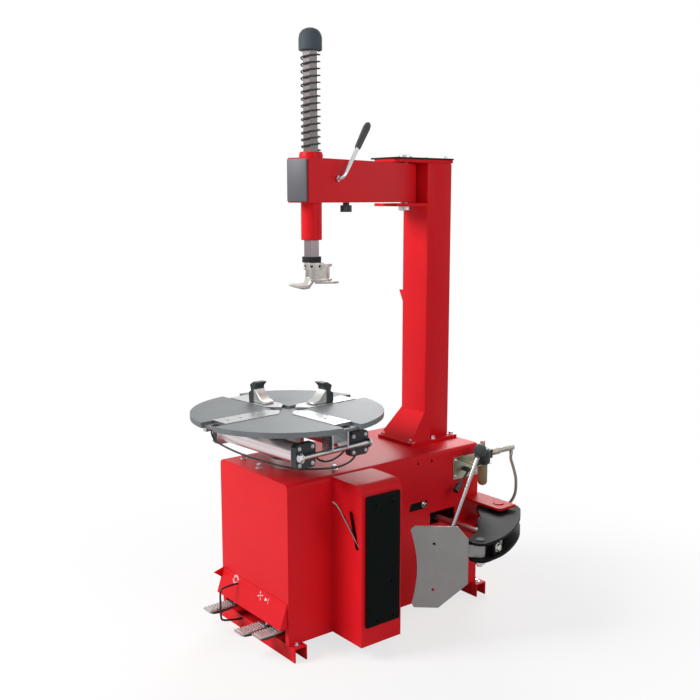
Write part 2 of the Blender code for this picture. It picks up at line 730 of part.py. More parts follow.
# Mount shaft: hexagonal bar with cap, return spring, collar and mount head
hexagon = circle(0.0, -SHAFT_U, HEX_R, 6, 0.0)
prism("hex_shaft", hexagon, HEAD_TOP + GAP, HEX_TOP, "Z", STEEL, arm_frame)
lathe(
    "shaft_cap",
    [(CAP_R - 0.002, HEX_TOP + GAP), (CAP_R, HEX_TOP + 0.003), (CAP_R, HEX_TOP + CAP_HIGH * 0.55),
     (CAP_R * 0.93, HEX_TOP + CAP_HIGH * 0.74), (CAP_R * 0.70, HEX_TOP + CAP_HIGH * 0.91),
     (CAP_R * 0.36, HEX_TOP + CAP_HIGH)],
    (0.0, -SHAFT_U, 0.0), "Z", BLACK, arm_frame, 32,
)
per_turn = 10
spring_low = BOSS_TOP + SPRING_WIRE + GAP
spring_high = HEX_TOP - SPRING_WIRE - GAP
spring_points = []
spring_count = int(SPRING_TURNS * per_turn)
for i in range(spring_count + 1):
    angle = 2.0 * math.pi * i / per_turn
    height = spring_low + (spring_high - spring_low) * i / spring_count
    spring_points.append((SPRING_R * math.cos(angle), -SHAFT_U + SPRING_R * math.sin(angle), height))
least = min(
    (Vector(spring_points[i]) - Vector(spring_points[j])).length
    for i in range(len(spring_points)) for j in range(i + 6, len(spring_points))
)
print("return spring: least gap between curls %.2f mm" % ((least - 2.0 * SPRING_WIRE) * 1000.0))
cord("return_spring", spring_points, SPRING_WIRE, STEEL, arm_frame, 1)
collar = disc("shaft_collar", (0.0, -SHAFT_U), COLLAR_R, HEAD_TOP + GAP, HEAD_TOP + GAP + COLLAR_HIGH, "Z",
              BLACK, arm_frame)
cut(collar, disc("collar_bore", (0.0, -SHAFT_U), HEX_R + GAP, HEAD_TOP - OVER, HEAD_TOP + 0.05, "Z"))
head_low = HEAD_TOP - HEAD_HIGH
head_aim = Matrix.Translation((0.0, -SHAFT_U, 0.0)) @ Matrix.Rotation(HEAD_AIM, 4, "Z")


def head_block(name, left, right, reach, lo, hi):
    """A slab of the head round the shaft's socket, drawn out to the tongue's side."""
    outline = hull(circle(HEAD_SHIFT, 0.0, left, 20) + circle(reach, 0.002, right, 16))
    made = prism(name, outline, lo, hi, "Z", ALLOY, arm_frame)
    made.data.transform(head_aim)
    return made


head = head_block("mount_head", 0.0255, 0.0170, 0.034, head_low + 0.004, HEAD_TOP - 0.004)
tongue = [(0.010, -0.022), (0.046, -0.021), (0.066, -0.012), (0.077, 0.003), (0.070, 0.012), (0.050, 0.020),
          (0.010, 0.022)]
tongue_plate = prism("head_tongue", tongue, head_low, head_low + 0.006, "Z", ALLOY, arm_frame)
tongue_plate.data.transform(head_aim)
finger = [((-0.002, -0.006, 0.018), 0.0120), ((-0.008, -0.015, 0.005), 0.0128),
          ((-0.013, -0.022, -0.004), 0.0122),
          ((-0.023, -0.025, -0.0065), 0.0098), ((-0.038, -0.024, -0.006), 0.0068),
          ((-0.054, -0.021, -0.004), 0.0052), ((-0.063, -0.019, -0.003), 0.0034)]
head_finger = taper("head_finger", [((u, v, head_low + w), r) for (u, v, w), r in finger], ALLOY, arm_frame)
head_finger.data.transform(head_aim)
ring_at = head_aim @ Vector((HEAD_SHIFT, 0.0, 0.0))
join(
    head,
    disc("head_socket", tuple(ring_at)[:2], HEAD_RING, HEAD_TOP - 0.021, HEAD_TOP, "Z"),
    head_block("head_wing", 0.0250, 0.0230, 0.035, HEAD_TOP - 0.012, HEAD_TOP - 0.003),
    head_block("head_foot", 0.0270, 0.0220, 0.036, head_low + 0.005, head_low + 0.013),
    tongue_plate,
    head_finger,
)
screw_holes = []
for i in (4, 5, 6, 7, 0):
    angle = 2.0 * math.pi * (i + 0.5) / 8.0
    spot = ring_at + Vector((HEAD_RING * math.cos(angle), HEAD_RING * math.sin(angle), HEAD_TOP - 0.010))
    out = Vector((math.cos(angle), math.sin(angle), 0.0))
    screw_holes.append(bar(f"screw_hole_{i}", [spot - out * 0.004, spot + out * 0.030], 0.0042, STEEL,
                           arm_frame, 10))
cut(head, *screw_holes)

# Turntable: disc with four slots, on a hub and spindle
table = disc("table_disc", (0.0, 0.0), TABLE_R, TABLE_LOW, TABLE_TOP, "Z", ALLOY, table_frame, 72)
near, far = GROOVE_HALF, TABLE_R + OVER
cross = [(far, -near), (far, near), (near, near), (near, far), (-near, far), (-near, near), (-far, near),
         (-far, -near), (-near, -near), (-near, -far), (near, -far), (near, -near)]
cut(table, prism("groove_cross", cross, GROOVE_LOW, TABLE_TOP + OVER, "Z", parent=table_frame))
half = SLOT_WIDE / 2.0
slot_shape = circle(SLOT_OUT - half, 0.0, half, 6, -math.pi / 2.0, math.pi)
slot_shape += circle(SLOT_IN + half, 0.0, half, 6, math.pi / 2.0, math.pi)
for quarter, label in enumerate(("px", "py", "nx", "ny")):
    spin = Matrix.Rotation(quarter * math.pi / 2.0, 4, "Z")
    slot = prism(f"slot_{label}", slot_shape, TABLE_LOW - OVER, TABLE_TOP + OVER, "Z", parent=table_frame)
    slot.data.transform(spin)
    notch = box(f"notch_{label}", (TABLE_R - NOTCH_DEEP, TABLE_R + OVER), (-NOTCH_HALF, NOTCH_HALF),
                (TABLE_LOW - OVER, TABLE_TOP + OVER), parent=table_frame)
    notch.data.transform(spin)
    cut(table, slot, notch)
hub_low = GEAR_TOP + NECK_RISE + 0.004
lathe(
    "table_hub",
    [(SPINDLE_R, GEAR_TOP - GEAR_HIGH * 0.75), (SPINDLE_R, hub_low), (HUB_R, hub_low),
     (HUB_R, TABLE_LOW - GAP)],
    (0.0, 0.0, 0.0), "Z", STEEL, table_frame, 32,
)


def slide(label, quarter):
    """A clamp slide: pointed plate in its groove, neck through the slot, plate below the table."""
    top = GROOVE_LOW + GAP
    tip = SLIDE_IN + SLIDE_HALF - 0.002
    outline = [(SLIDE_IN, -0.002), (SLIDE_IN, 0.002), (tip, SLIDE_HALF), (SLIDE_OUT, SLIDE_HALF),
               (SLIDE_OUT, -SLIDE_HALF), (tip, -SLIDE_HALF)]
    made = prism(f"slide_{label}", outline, top, SLIDE_TOP, "Z", STEEL, table_frame)
    under = TABLE_LOW - UNDER_DROP
    more = [
        box(f"slide_neck_{label}", (NECK_IN, NECK_OUT), (-half + RUN, half - RUN),
            (under - 0.004, top + 0.004), parent=table_frame),
        box(f"slide_under_{label}", (NECK_IN - 0.016, CROSS_X + 0.010 if label == "nx" else TIE_X + 0.022),
            (-SLIDE_HALF, SLIDE_HALF),
            (under - UNDER_THICK, under), parent=table_frame),
    ]
    if label == "px":
        for side, (y0, y1) in (("a", (-SLIDE_HALF, -SLIDE_HALF + 0.006)),
                               ("b", (SLIDE_HALF - 0.006, SLIDE_HALF))):
            more.append(box(f"tie_cheek_{side}", (TIE_X - 0.022, TIE_X + 0.022), (y0, y1),
                            (CYL_Z + TIE_R - 0.004, under - 0.004), parent=table_frame))
        more.append(box("tie_back", (TIE_X - 0.022, TIE_X - 0.016),
                        (-SLIDE_HALF + 0.002, SLIDE_HALF - 0.002),
                        (CYL_Z + TIE_R + 0.006, under - 0.004), parent=table_frame))
        more.append(disc("tie_bar", (TIE_X, CYL_Z), TIE_R, -CYL_Y - 0.026, CYL_Y + 0.026, "Y",
                         parent=table_frame, count=16))
    if label == "nx":
        more.append(box("cross_bracket", (CROSS_X - 0.012, CROSS_X + 0.010), (-0.026, 0.026),
                        (CYL_Z - 0.014, under - 0.004), parent=table_frame))
        for side in (-1.0, 1.0):
            more.append(disc(f"clamp_rod_{side:.0f}", (-side * CYL_Y, CYL_Z), CLAMP_ROD_R, 0.076,
                             CROSS_X + 0.010, "X", parent=table_frame, count=16))
            more.append(disc(f"piston_{side:.0f}", (-side * CYL_Y, CYL_Z), CYL_BORE - RUN, 0.062, 0.080,
                             "X", parent=table_frame, count=32))
        more.append(box("cross_bar", (CROSS_X - 0.010, CROSS_X + 0.008), (-CYL_Y - 0.020, CYL_Y + 0.020),
                        (CYL_Z - 0.013, CYL_Z + 0.013), parent=table_frame))
    join(made, *more)
    if label in ("px", "ny"):
        for i, at in enumerate((0.030, 0.075)):
            cut(made, disc(f"slide_hole_{label}_{i}", (SLIDE_OUT - at, 0.0), 0.005, SLIDE_TOP - 0.006,
                           SLIDE_TOP + OVER, "Z", parent=table_frame, count=12))
    spin = Matrix.Rotation(quarter * math.pi / 2.0, 4, "Z")
    for piece in (made, *[m.object for m in made.modifiers]):
        piece.data.transform(spin)
    return made


for number, label in enumerate(("px", "py", "nx", "ny")):
    slide(label, number)


def jaw(label, quarter):
    """A hooked clamp jaw bolted on top of its slide, its nose toward the middle."""
    low = SLIDE_TOP + GAP
    back = SLIDE_OUT - JAW_BACK
    outline = [(back, low), (back - 0.084, low), (back - 0.084, low + 0.007), (back - 0.062, low + 0.014),
               (back - 0.036, low + 0.040), (back - 0.034, low + 0.050), (back - 0.050, low + 0.066),
               (back - 0.024, low + 0.065), (back - 0.006, low + 0.054), (back - 0.012, low + 0.036),
               (back, low + 0.028)]
    made = prism(f"jaw_{label}", outline, -JAW_HALF, JAW_HALF, "Y", BLACK, table_frame)
    soften(made, 0.002, 1)
    made.data.transform(Matrix.Rotation(quarter * math.pi / 2.0, 4, "Z"))
    return made


jaw("py", 1)
jaw("nx", 2)


def clamp_cylinder(name, y):
    """A clamp cylinder: barrel with square end caps, the rod leaving through the left cap."""
    made = disc(name, (y, CYL_Z), CYL_R, CYL_LEFT, CYL_RIGHT, "X", ALLOY, table_frame, 32)
    caps = []
    for end, (x0, x1) in (("a", (CYL_LEFT - CAP_LONG, CYL_LEFT + 0.002)),
                          ("b", (CYL_RIGHT - 0.002, CYL_RIGHT + CAP_LONG))):
        side, edge = CAP_HALF, CAP_HALF - CAP_BEVEL
        square = [(side, edge), (edge, side), (-edge, side), (-side, edge), (-side, -edge), (-edge, -side),
                  (edge, -side), (side, -edge)]
        caps.append(prism(f"{name}_cap_{end}", [(y + u, CYL_Z + v) for u, v in square], x0, x1, "X",
                          parent=table_frame))
    join(made, *caps)
    cut(
        made,
        disc(f"{name}_bore", (y, CYL_Z), CYL_BORE, CYL_LEFT, CYL_RIGHT, "X", parent=table_frame, count=32),
        disc(f"{name}_gland", (y, CYL_Z), CLAMP_ROD_R + RUN, CYL_LEFT - 0.05, CYL_LEFT + 0.01, "X",
             parent=table_frame, count=16),
        box(f"{name}_tie_gate", (TIE_X - TIE_R - GAP, TIE_X + TIE_R + 0.05), (y - 0.06, y + 0.06),
            (CYL_Z - TIE_R - GAP, CYL_Z + TIE_R + GAP), parent=table_frame),
    )
    return made


clamp_cylinder("clamp_cylinder_front", -CYL_Y)
clamp_cylinder("clamp_cylinder_rear", CYL_Y)

# Drive: worm gearbox under the cabinet top, motor, pulleys and belt
gearbox = disc("gearbox", (0.0, 0.0), GEAR_R, GEAR_TOP - GEAR_HIGH, GEAR_TOP, "Z", ALLOY, count=40)
join(
    gearbox,
    disc("gear_neck", (0.0, 0.0), NECK_R, GEAR_TOP - 0.002, GEAR_TOP + NECK_RISE, "Z", count=32),
    box("worm_case", (PULLEY_X + PULLEY_HALF + 0.028, 0.105), (WORM_Y - 0.034, WORM_Y + 0.034),
        (WORM_Z - 0.034, WORM_Z + 0.034)),
)
cut(
    gearbox,
    disc("spindle_bore", (0.0, 0.0), SPINDLE_R + RUN, GEAR_TOP - GEAR_HIGH * 0.75 - 0.002, GEAR_TOP + 0.06,
         "Z", count=32),
    disc("worm_bore", (WORM_Y, WORM_Z), WORM_R + RUN, PULLEY_X, WORM_IN, "X", count=16),
)
motor = disc("motor", (MOTOR_Y, MOTOR_Z), MOTOR_R, MOTOR_X[0], MOTOR_X[1], "X", GREY, count=28)
join(motor, box("motor_hanger", (MOTOR_X[0] + 0.068, MOTOR_X[0] + 0.158),
                (MOTOR_Y - 0.010, MOTOR_Y + 0.010), (MOTOR_Z + MOTOR_R - 0.010, CAB_TOP - SHEET - GAP)))
cut(motor, disc("motor_bore", (MOTOR_Y, MOTOR_Z), MOTOR_SHAFT_R + RUN, MOTOR_X[0] - OVER,
                MOTOR_X[0] + 0.030, "X", count=16))


def pulley(name, y, z, r, shaft_r, shaft_end):
    """A grooved pulley on its shaft."""
    lip = r + PULLEY_LIP
    made = lathe(
        name,
        [(lip, -PULLEY_HALF), (lip, -BELT_HALF - RUN), (r, -BELT_HALF - RUN), (r, BELT_HALF + RUN),
         (lip, BELT_HALF + RUN), (lip, PULLEY_HALF), (shaft_r, PULLEY_HALF),
         (shaft_r, shaft_end - PULLEY_X)],
        (PULLEY_X, y, z), "X", STEEL, count=32,
    )
    return hinge_at(made, (PULLEY_X, y, z))


pulley("worm_pulley", WORM_Y, WORM_Z, PULLEY_BIG, WORM_R, WORM_IN - 0.005)
pulley("motor_pulley", MOTOR_Y, MOTOR_Z, PULLEY_SMALL, MOTOR_SHAFT_R, MOTOR_X[0] + 0.026)
belt_rings = []
for extra in (GAP, GAP + BELT_THICK):
    big = circle(WORM_Y, WORM_Z, PULLEY_BIG + extra, 32)
    small = circle(MOTOR_Y, MOTOR_Z, PULLEY_SMALL + extra, 32)
    belt_rings.append(hull(big + small))
belt = prism("drive_belt", belt_rings[1], PULLEY_X - BELT_HALF, PULLEY_X + BELT_HALF, "X", RUBBER)
cut(belt, prism("belt_inside", belt_rings[0], PULLEY_X - 0.05, PULLEY_X + 0.05, "X"))

# Bead breaker: lugs on the cabinet, curved double-plate arm, blade, handle and ram
lug_x = CAB_HALF + GAP


def lug(name, top, tip):
    outline = [(lug_x, LUG_Y[0]), (tip - 0.030, LUG_Y[0])]
    outline += circle(tip - 0.014, LUG_Y[0] + 0.014, 0.014, 3, 1.5 * math.pi, math.pi / 2.0)
    outline += [(tip, LUG_Y[1]), (lug_x, LUG_Y[1])]
    return prism(name, outline, top - LUG_THICK, top, "Z", RED)


lower_lug_top = ARM_PLATE_TOP - 2.0 * ARM_PLATE - ARM_PLATE_GAP - 0.004
lugs = lug("breaker_lugs", LUG_TOP, LUG_TIP)
join(
    lugs,
    lug("lower_lug", lower_lug_top, LUG_TIP),
    box("lug_back", (lug_x, lug_x + LUG_THICK), LUG_Y,
        (lower_lug_top - LUG_THICK - 0.004, LUG_TOP - 0.001)),
)
cut(lugs, disc("lug_bore", (BREAK_X, BREAK_Y), BREAK_PIN_R + GAP, 0.20, 0.42, "Z"))
lathe(
    "breaker_pin",
    [(0.020, lower_lug_top - LUG_THICK - 0.012), (0.020, lower_lug_top - LUG_THICK - GAP),
     (BREAK_PIN_R, lower_lug_top - LUG_THICK - GAP), (BREAK_PIN_R, LUG_TOP + GAP), (0.018, LUG_TOP + GAP),
     (0.017, LUG_TOP + 0.0025)],
    (BREAK_X, BREAK_Y, 0.0), "Z", STEEL,
)
spine = [Vector((BREAK_X + x, BREAK_Y + y, 0.0)) for x, y in
         ((0.0, 0.0), (0.066, -0.064), (0.116, -0.134), (0.150, -0.200), BLADE_PIN_AT)]
spine = smooth(spine, 4)
widths = (0.072, 0.034)
left = []
right = []
for i, point in enumerate(spine):
    along = (spine[min(i + 1, len(spine) - 1)] - spine[max(i - 1, 0)]).normalized()
    across = Vector((-along.y, along.x, 0.0))
    wide = widths[0] + (widths[1] - widths[0]) * i / (len(spine) - 1)
    left.append(tuple((point + across * wide)[:2]))
    right.append(tuple((point - across * wide)[:2]))
edges = []
for edge in (left, right):
    knots = [Vector((*edge[i], 0.0)) for i in range(0, len(edge), 4)]
    edges.append([tuple(p)[:2] for p in smooth(knots, 4)])
left, right = edges
first = (spine[1] - spine[0]).normalized()
final = (spine[-1] - spine[-2]).normalized()
banana = left[::-1] + circle(BREAK_X, BREAK_Y, widths[0], 8, math.atan2(first.x, -first.y), math.pi)[1:-1]
banana += right + circle(BLADE_PIN[0], BLADE_PIN[1], widths[1], 6, math.atan2(-final.x, final.y),
                         math.pi)[1:-1]
plate_low = ARM_PLATE_TOP - 2.0 * ARM_PLATE - ARM_PLATE_GAP
breaker = prism("breaker_arm", banana, ARM_PLATE_TOP - ARM_PLATE, ARM_PLATE_TOP, "Z", BLACK)
web = [(p.x - 0.005, p.y - 0.004) for p in spine[:8]]
web += [(p.x + 0.005, p.y + 0.004) for p in spine[7::-1]]
join(
    breaker,
    prism("arm_plate_low", banana, plate_low, plate_low + ARM_PLATE, "Z"),
    disc("arm_hub", (BREAK_X, BREAK_Y), BREAK_HUB_R, plate_low - 0.002, ARM_PLATE_TOP + 0.007, "Z"),
    prism("arm_web", web, plate_low + 0.004, ARM_PLATE_TOP - 0.004, "Z"),
    disc("rod_pin", ROD_PIN, ROD_PIN_R, plate_low - 0.020, ARM_PLATE_TOP - 0.002, "Z", count=16),
    disc("rod_pin_nut", ROD_PIN, 0.017, plate_low - 0.012, plate_low + 0.002, "Z", count=6),
)
cut(
    breaker,
    disc("hub_bore", (BREAK_X, BREAK_Y), BREAK_PIN_R + GAP, 0.20, 0.42, "Z"),
    disc("blade_pin_bore", BLADE_PIN, BLADE_PIN_R + GAP, 0.20, 0.42, "Z", count=16),
)
hinge_at(breaker, (BREAK_X, BREAK_Y, 0.0))
lathe(
    "blade_pin",
    [(BLADE_PIN_R, plate_low - 0.022), (BLADE_PIN_R, plate_low - 0.014), (0.015, plate_low - 0.014),
     (0.015, plate_low - GAP), (BLADE_PIN_R, plate_low - GAP),
     (BLADE_PIN_R, ARM_PLATE_TOP + GAP), (0.014, ARM_PLATE_TOP + GAP), (0.013, ARM_PLATE_TOP + 0.003)],
    (*BLADE_PIN, 0.0), "Z", STEEL, count=16,
)
blade_place = Matrix.Translation((*BLADE_CORNER, 0.0)) @ Matrix.Rotation(BLADE_TURN, 4, "Z")
concave = []
for i in range(9):
    rise = BLADE_TOP - BLADE_LOW - 0.022
    hollow = 0.018 * math.sin(math.pi * i / 8.0) + 0.005 * (1.0 - i / 8.0)
    concave.append((hollow, BLADE_LOW + 0.012 + rise * i / 8.0))
blade_outline = [(0.012, BLADE_LOW), (0.085, BLADE_LOW), (BLADE_WIDE, 0.215), (BLADE_WIDE, 0.353),
                 (0.139, BLADE_TOP), (0.010, BLADE_TOP)] + concave[::-1]
blade = prism("breaker_blade", blade_outline, 0.0, BLADE_THICK, "Y", STEEL)
blade.data.transform(blade_place)
pin_local = blade_place.inverted() @ Vector((*BLADE_PIN, 0.0))
mount_outline = [(0.060, BLADE_THICK - 0.002), (0.160, BLADE_THICK - 0.002)]
mount_outline += circle(pin_local.x, pin_local.y, 0.018, 8, -math.pi / 2.0, math.pi)
mount_outline += [(0.100, BLADE_THICK + 0.030), (0.060, BLADE_THICK + 0.012)]
blade_mount = prism("blade_mount", mount_outline, ROD_Z - 0.019, ROD_Z + 0.019, "Z")
blade_mount.data.transform(blade_place)
blade_holes = []
for index, (s, z) in enumerate(((0.070, 0.338), (0.068, 0.195))):
    hole = disc(f"blade_hole_{index}", (s, z), 0.005, -0.02, 0.006 + BLADE_THICK, "Y", count=12)
    hole.data.transform(blade_place)
    blade_holes.append(hole)
join(blade, blade_mount)
cut(blade, *blade_holes, disc("mount_bore", BLADE_PIN, BLADE_PIN_R + GAP, 0.20, 0.42, "Z", count=16))
hinge_at(blade, (*BLADE_PIN, 0.0))
handle_foot = blade_place @ Vector((0.122, BLADE_THICK + HANDLE_R + GAP, 0.345))
handle = bar(
    "breaker_handle",
    [handle_foot, handle_foot + Vector((0.0, 0.004, 0.045)), handle_foot + Vector((0.0, 0.108, 0.246))],
    HANDLE_R, STEEL,
)
grip_at = handle_foot + Vector((0.0, 0.114, 0.258))
join(handle, lathe("handle_ball", [(0.007, -0.019), (0.016, -0.013), (0.020, 0.0), (0.016, 0.013),
                                   (0.007, 0.019)],
                   grip_at, "Z", count=16))

# Ram of the bead breaker, inside the cabinet, swinging on a pin at its left end
ram = disc("breaker_ram", (RAM_Y, ROD_Z), RAM_R, RAM_X + 0.030, RAM_X + RAM_LONG, "X", ALLOY, count=32)
join(
    ram,
    disc("ram_eye", (RAM_X, RAM_Y), 0.020, ROD_Z - 0.030, ROD_Z + 0.030, "Z", count=20),
    box("ram_tongue", (RAM_X + 0.014, RAM_X + 0.034), (RAM_Y - 0.014, RAM_Y + 0.014),
        (ROD_Z - 0.030, ROD_Z + 0.030)),
)
cut(
    ram,
    disc("ram_bore", (RAM_Y, ROD_Z), RAM_BORE, RAM_X + 0.040, RAM_X + RAM_LONG - 0.014, "X", count=32),
    disc("ram_gland", (RAM_Y, ROD_Z), RAM_ROD_R + RUN, RAM_X + RAM_LONG - 0.05, RAM_X + RAM_LONG + 0.05,
         "X", count=16),
    disc("ram_pin_bore", (RAM_X, RAM_Y), RAM_PIN_R + GAP, ROD_Z - 0.06, ROD_Z + 0.06, "Z", count=16),
)
hinge_at(ram, (RAM_X, RAM_Y, 0.0))
ram_rod = disc("breaker_rod", (RAM_Y, ROD_Z), RAM_ROD_R, RAM_X + 0.050, ROD_PIN[0] - 0.012, "X", STEEL,
               count=16)
join(
    ram_rod,
    disc("ram_piston", (RAM_Y, ROD_Z), RAM_BORE - RUN, RAM_X + 0.044, RAM_X + 0.062, "X", count=32),
    disc("rod_eye", (ROD_PIN[0], RAM_Y), ROD_PIN_R + ROD_EYE_PLAY + 0.007, ROD_Z - 0.018, ROD_Z + 0.018,
         "Z"),
)
cut(ram_rod, disc("rod_eye_bore", (ROD_PIN[0], RAM_Y), ROD_PIN_R + ROD_EYE_PLAY, ROD_Z - 0.06, ROD_Z + 0.06,
                  "Z"))
lathe(
    "ram_stay",
    [(0.018, ROD_Z - 0.040), (0.018, ROD_Z - 0.0305), (RAM_PIN_R, ROD_Z - 0.0305),
     (RAM_PIN_R, ROD_Z + 0.0305), (0.018, ROD_Z + 0.0305), (0.018, CAB_TOP - SHEET - GAP)],
    (RAM_X, RAM_Y, 0.0), "Z", STEEL, count=16,
)

# Air service unit: bracket, body, bowl, regulator knob, coupling and hose
bracket = box("unit_bracket", (lug_x, lug_x + SHEET), (0.531, 0.645), (0.431, 0.506), ZINC)
shelf_out = UNIT_X + 0.012
join(bracket, box("unit_shelf", (lug_x + 0.001, shelf_out), (UNIT_Y - 0.032, UNIT_Y + 0.032),
                  (SHELF_TOP - SHEET, SHELF_TOP)))
unit_low = SHELF_TOP + GAP
body = lathe(
    "unit_body",
    [(UNIT_R - 0.004, unit_low), (UNIT_R, unit_low + 0.006), (UNIT_R, unit_low + UNIT_HIGH - 0.008),
     (UNIT_R - 0.006, unit_low + UNIT_HIGH)],
    (UNIT_X, UNIT_Y, 0.0), "Z", BLACK, count=20,
)
join(body, box("unit_port", (UNIT_X - 0.014, UNIT_X + 0.014), (UNIT_Y, UNIT_Y + 0.034),
               (COUPLER_Z - 0.014, COUPLER_Z + 0.014)))
bowl_top = SHELF_TOP - SHEET - GAP
lathe(
    "unit_bowl",
    [(0.006, bowl_top - BOWL_LONG), (BOWL_R - 0.003, bowl_top - BOWL_LONG + 0.004),
     (BOWL_R, bowl_top - BOWL_LONG + 0.012), (BOWL_R, bowl_top)],
    (UNIT_X + 0.002, UNIT_Y, 0.0), "Z", AMBER, count=20,
)
knob_low = unit_low + UNIT_HIGH + GAP
hinge_at(
    lathe("unit_knob", [(0.008, knob_low), (0.008, knob_low + 0.022), (0.006, knob_low + 0.026)],
          (UNIT_X, UNIT_Y, 0.0), "Z", STEEL, count=16),
    (UNIT_X, UNIT_Y, 0.0),
)
port_end = UNIT_Y + 0.034 + GAP
coupler = lathe(
    "air_coupler",
    [(0.008, port_end), (0.008, port_end + 0.012), (0.011, port_end + 0.016), (0.0115, port_end + 0.040),
     (0.009, port_end + 0.046), (0.009, COUPLER_END - 0.010), (0.008, COUPLER_END)],
    (UNIT_X, 0.0, COUPLER_Z), "Y", STEEL, count=16,
)
join(coupler, lathe("coupler_nose", [(0.006, COUPLER_Z - 0.024), (0.0065, COUPLER_Z - 0.004),
                                     (0.0065, COUPLER_Z + 0.004)],
                    (UNIT_X, COUPLER_END - 0.009, 0.0), "Z", count=16))
fitting_x = CAB_HALF - 0.0365
fitting_z = 0.300
lathe(
    "hose_fitting",
    [(0.010, CAB_BACK + GAP), (0.010, CAB_BACK + 0.010), (0.0065, CAB_BACK + 0.012),
     (0.0065, CAB_BACK + 0.022)],
    (fitting_x, 0.0, fitting_z), "Y", STEEL, count=16,
)
hose_knots = [
    (UNIT_X, COUPLER_END - 0.009, COUPLER_Z - 0.0245), (UNIT_X, COUPLER_END - 0.009, COUPLER_Z - 0.040),
    (UNIT_X + 0.005, COUPLER_END + 0.001, COUPLER_Z - 0.075),
    (UNIT_X + 0.012, COUPLER_END + 0.006, COUPLER_Z - 0.115),
    (UNIT_X + 0.008, COUPLER_END + 0.004, COUPLER_Z - 0.170),
    (UNIT_X - 0.030, COUPLER_END, fitting_z + 0.006),
    (fitting_x + 0.014, CAB_BACK + 0.054, fitting_z - 0.002), (fitting_x, CAB_BACK + 0.036, fitting_z),
    (fitting_x, CAB_BACK + 0.0225, fitting_z),
]
cord("air_hose", smooth(hose_knots, 6), HOSE_R, GREY, sides=2)
valve = bar(
    "valve_lever",
    [(lug_x + 0.012, 0.586, 0.458), (lug_x + 0.022, 0.576, 0.452), (lug_x + 0.034, 0.530, 0.424)],
    0.0035, BLACK, count=10,
)
join(
    valve,
    disc("valve_hub", (0.588, 0.459), 0.008, lug_x + SHEET + GAP, lug_x + 0.018, "X", count=16),
    bar("valve_grip", [(lug_x + 0.033, 0.534, 0.4265), (lug_x + 0.034, 0.529, 0.4235),
                       (lug_x + 0.040, 0.508, 0.410), (lug_x + 0.041, 0.504, 0.4075)], 0.010, count=12),
)
hinge_at(valve, (lug_x, 0.588, 0.459))

# Pedals: three ribbed treads on levers, on one shaft in a frame inside the cabinet
shaft_half = GUARD_HALF - 0.004
disc("pedal_shaft", (PEDAL_AXIS_Y, PEDAL_AXIS_Z), PEDAL_SHAFT_R, -shaft_half, shaft_half, "X", STEEL,
     count=16)
frame_half = CAB_HALF - SHEET - GAP
frame = box("pedal_frame", (-frame_half, frame_half), (PEDAL_AXIS_Y + 0.034, PEDAL_AXIS_Y + 0.040),
            (CAB_BOTTOM + 0.006, PEDAL_AXIS_Z + 0.060), GREY)
for side in (-1.0, 1.0):
    inner, outer = sorted((side * (shaft_half - 0.010), side * (shaft_half - 0.004)))
    join(frame, box(f"frame_cheek_{side:.0f}", (inner, outer), (PEDAL_AXIS_Y - 0.020, PEDAL_AXIS_Y + 0.040),
                    (CAB_BOTTOM + 0.006, PEDAL_AXIS_Z + 0.060)))
cut(frame, disc("frame_bore", (PEDAL_AXIS_Y, PEDAL_AXIS_Z), PEDAL_SHAFT_R + GAP, -0.2, 0.2, "X", count=16))
soften(box("valve_block", (0.010, 0.165), (PEDAL_AXIS_Y + 0.040 + GAP, PEDAL_AXIS_Y + 0.090),
           (0.080, 0.140), ALLOY), 0.003, 1)


def pedal(name, x, front):
    """A pedal: ribbed tread, curved lever below it and a hub on the common shaft."""
    low = PEDAL_TOP - TREAD
    wide = PEDAL_WIDE / 2.0
    made = box(name, (x - wide, x + wide), (front, front + PEDAL_DEEP), (low, PEDAL_TOP), ALLOY)
    pitch = (PEDAL_DEEP - 0.008) / PEDAL_RIBS
    more = []
    for i in range(PEDAL_RIBS):
        at = front + 0.004 + pitch * (i + 0.25)
        more.append(box(f"{name}_rib_{i}", (x - wide + 0.002, x + wide - 0.002), (at, at + pitch * 0.5),
                        (PEDAL_TOP - 0.001, PEDAL_TOP + 0.003)))
    belly = [(front + 0.006, low + 0.001), (front + 0.008, low - 0.007), (front + 0.022, low - 0.014),
             (front + 0.045, low - 0.017), (FOOT_FRONT_Y - 0.030, low - 0.015),
             (FOOT_FRONT_Y - 0.006, low - 0.011),
             (PEDAL_AXIS_Y, PEDAL_AXIS_Z - 0.012), (PEDAL_AXIS_Y, PEDAL_AXIS_Z + 0.010),
             (front + PEDAL_DEEP + 0.030, low - 0.001), (front + PEDAL_DEEP - 0.004, low + 0.001)]
    more.append(prism(f"{name}_lever", belly, x - PEDAL_ARM / 2.0, x + PEDAL_ARM / 2.0, "X"))
    more.append(disc(f"{name}_hub", (PEDAL_AXIS_Y, PEDAL_AXIS_Z), PEDAL_HUB_R, x - 0.014, x + 0.014, "X",
                     count=20))
    join(made, *more)
    cut(made, disc(f"{name}_bore", (PEDAL_AXIS_Y, PEDAL_AXIS_Z), PEDAL_SHAFT_R + GAP, x - 0.05, x + 0.05,
                   "X", count=16))
    return hinge_at(made, (x, PEDAL_AXIS_Y, PEDAL_AXIS_Z))


for name, x, front in zip(("pedal_turn", "pedal_breaker", "pedal_clamp"), PEDAL_X, PEDAL_FRONT):
    pedal(name, x, front)

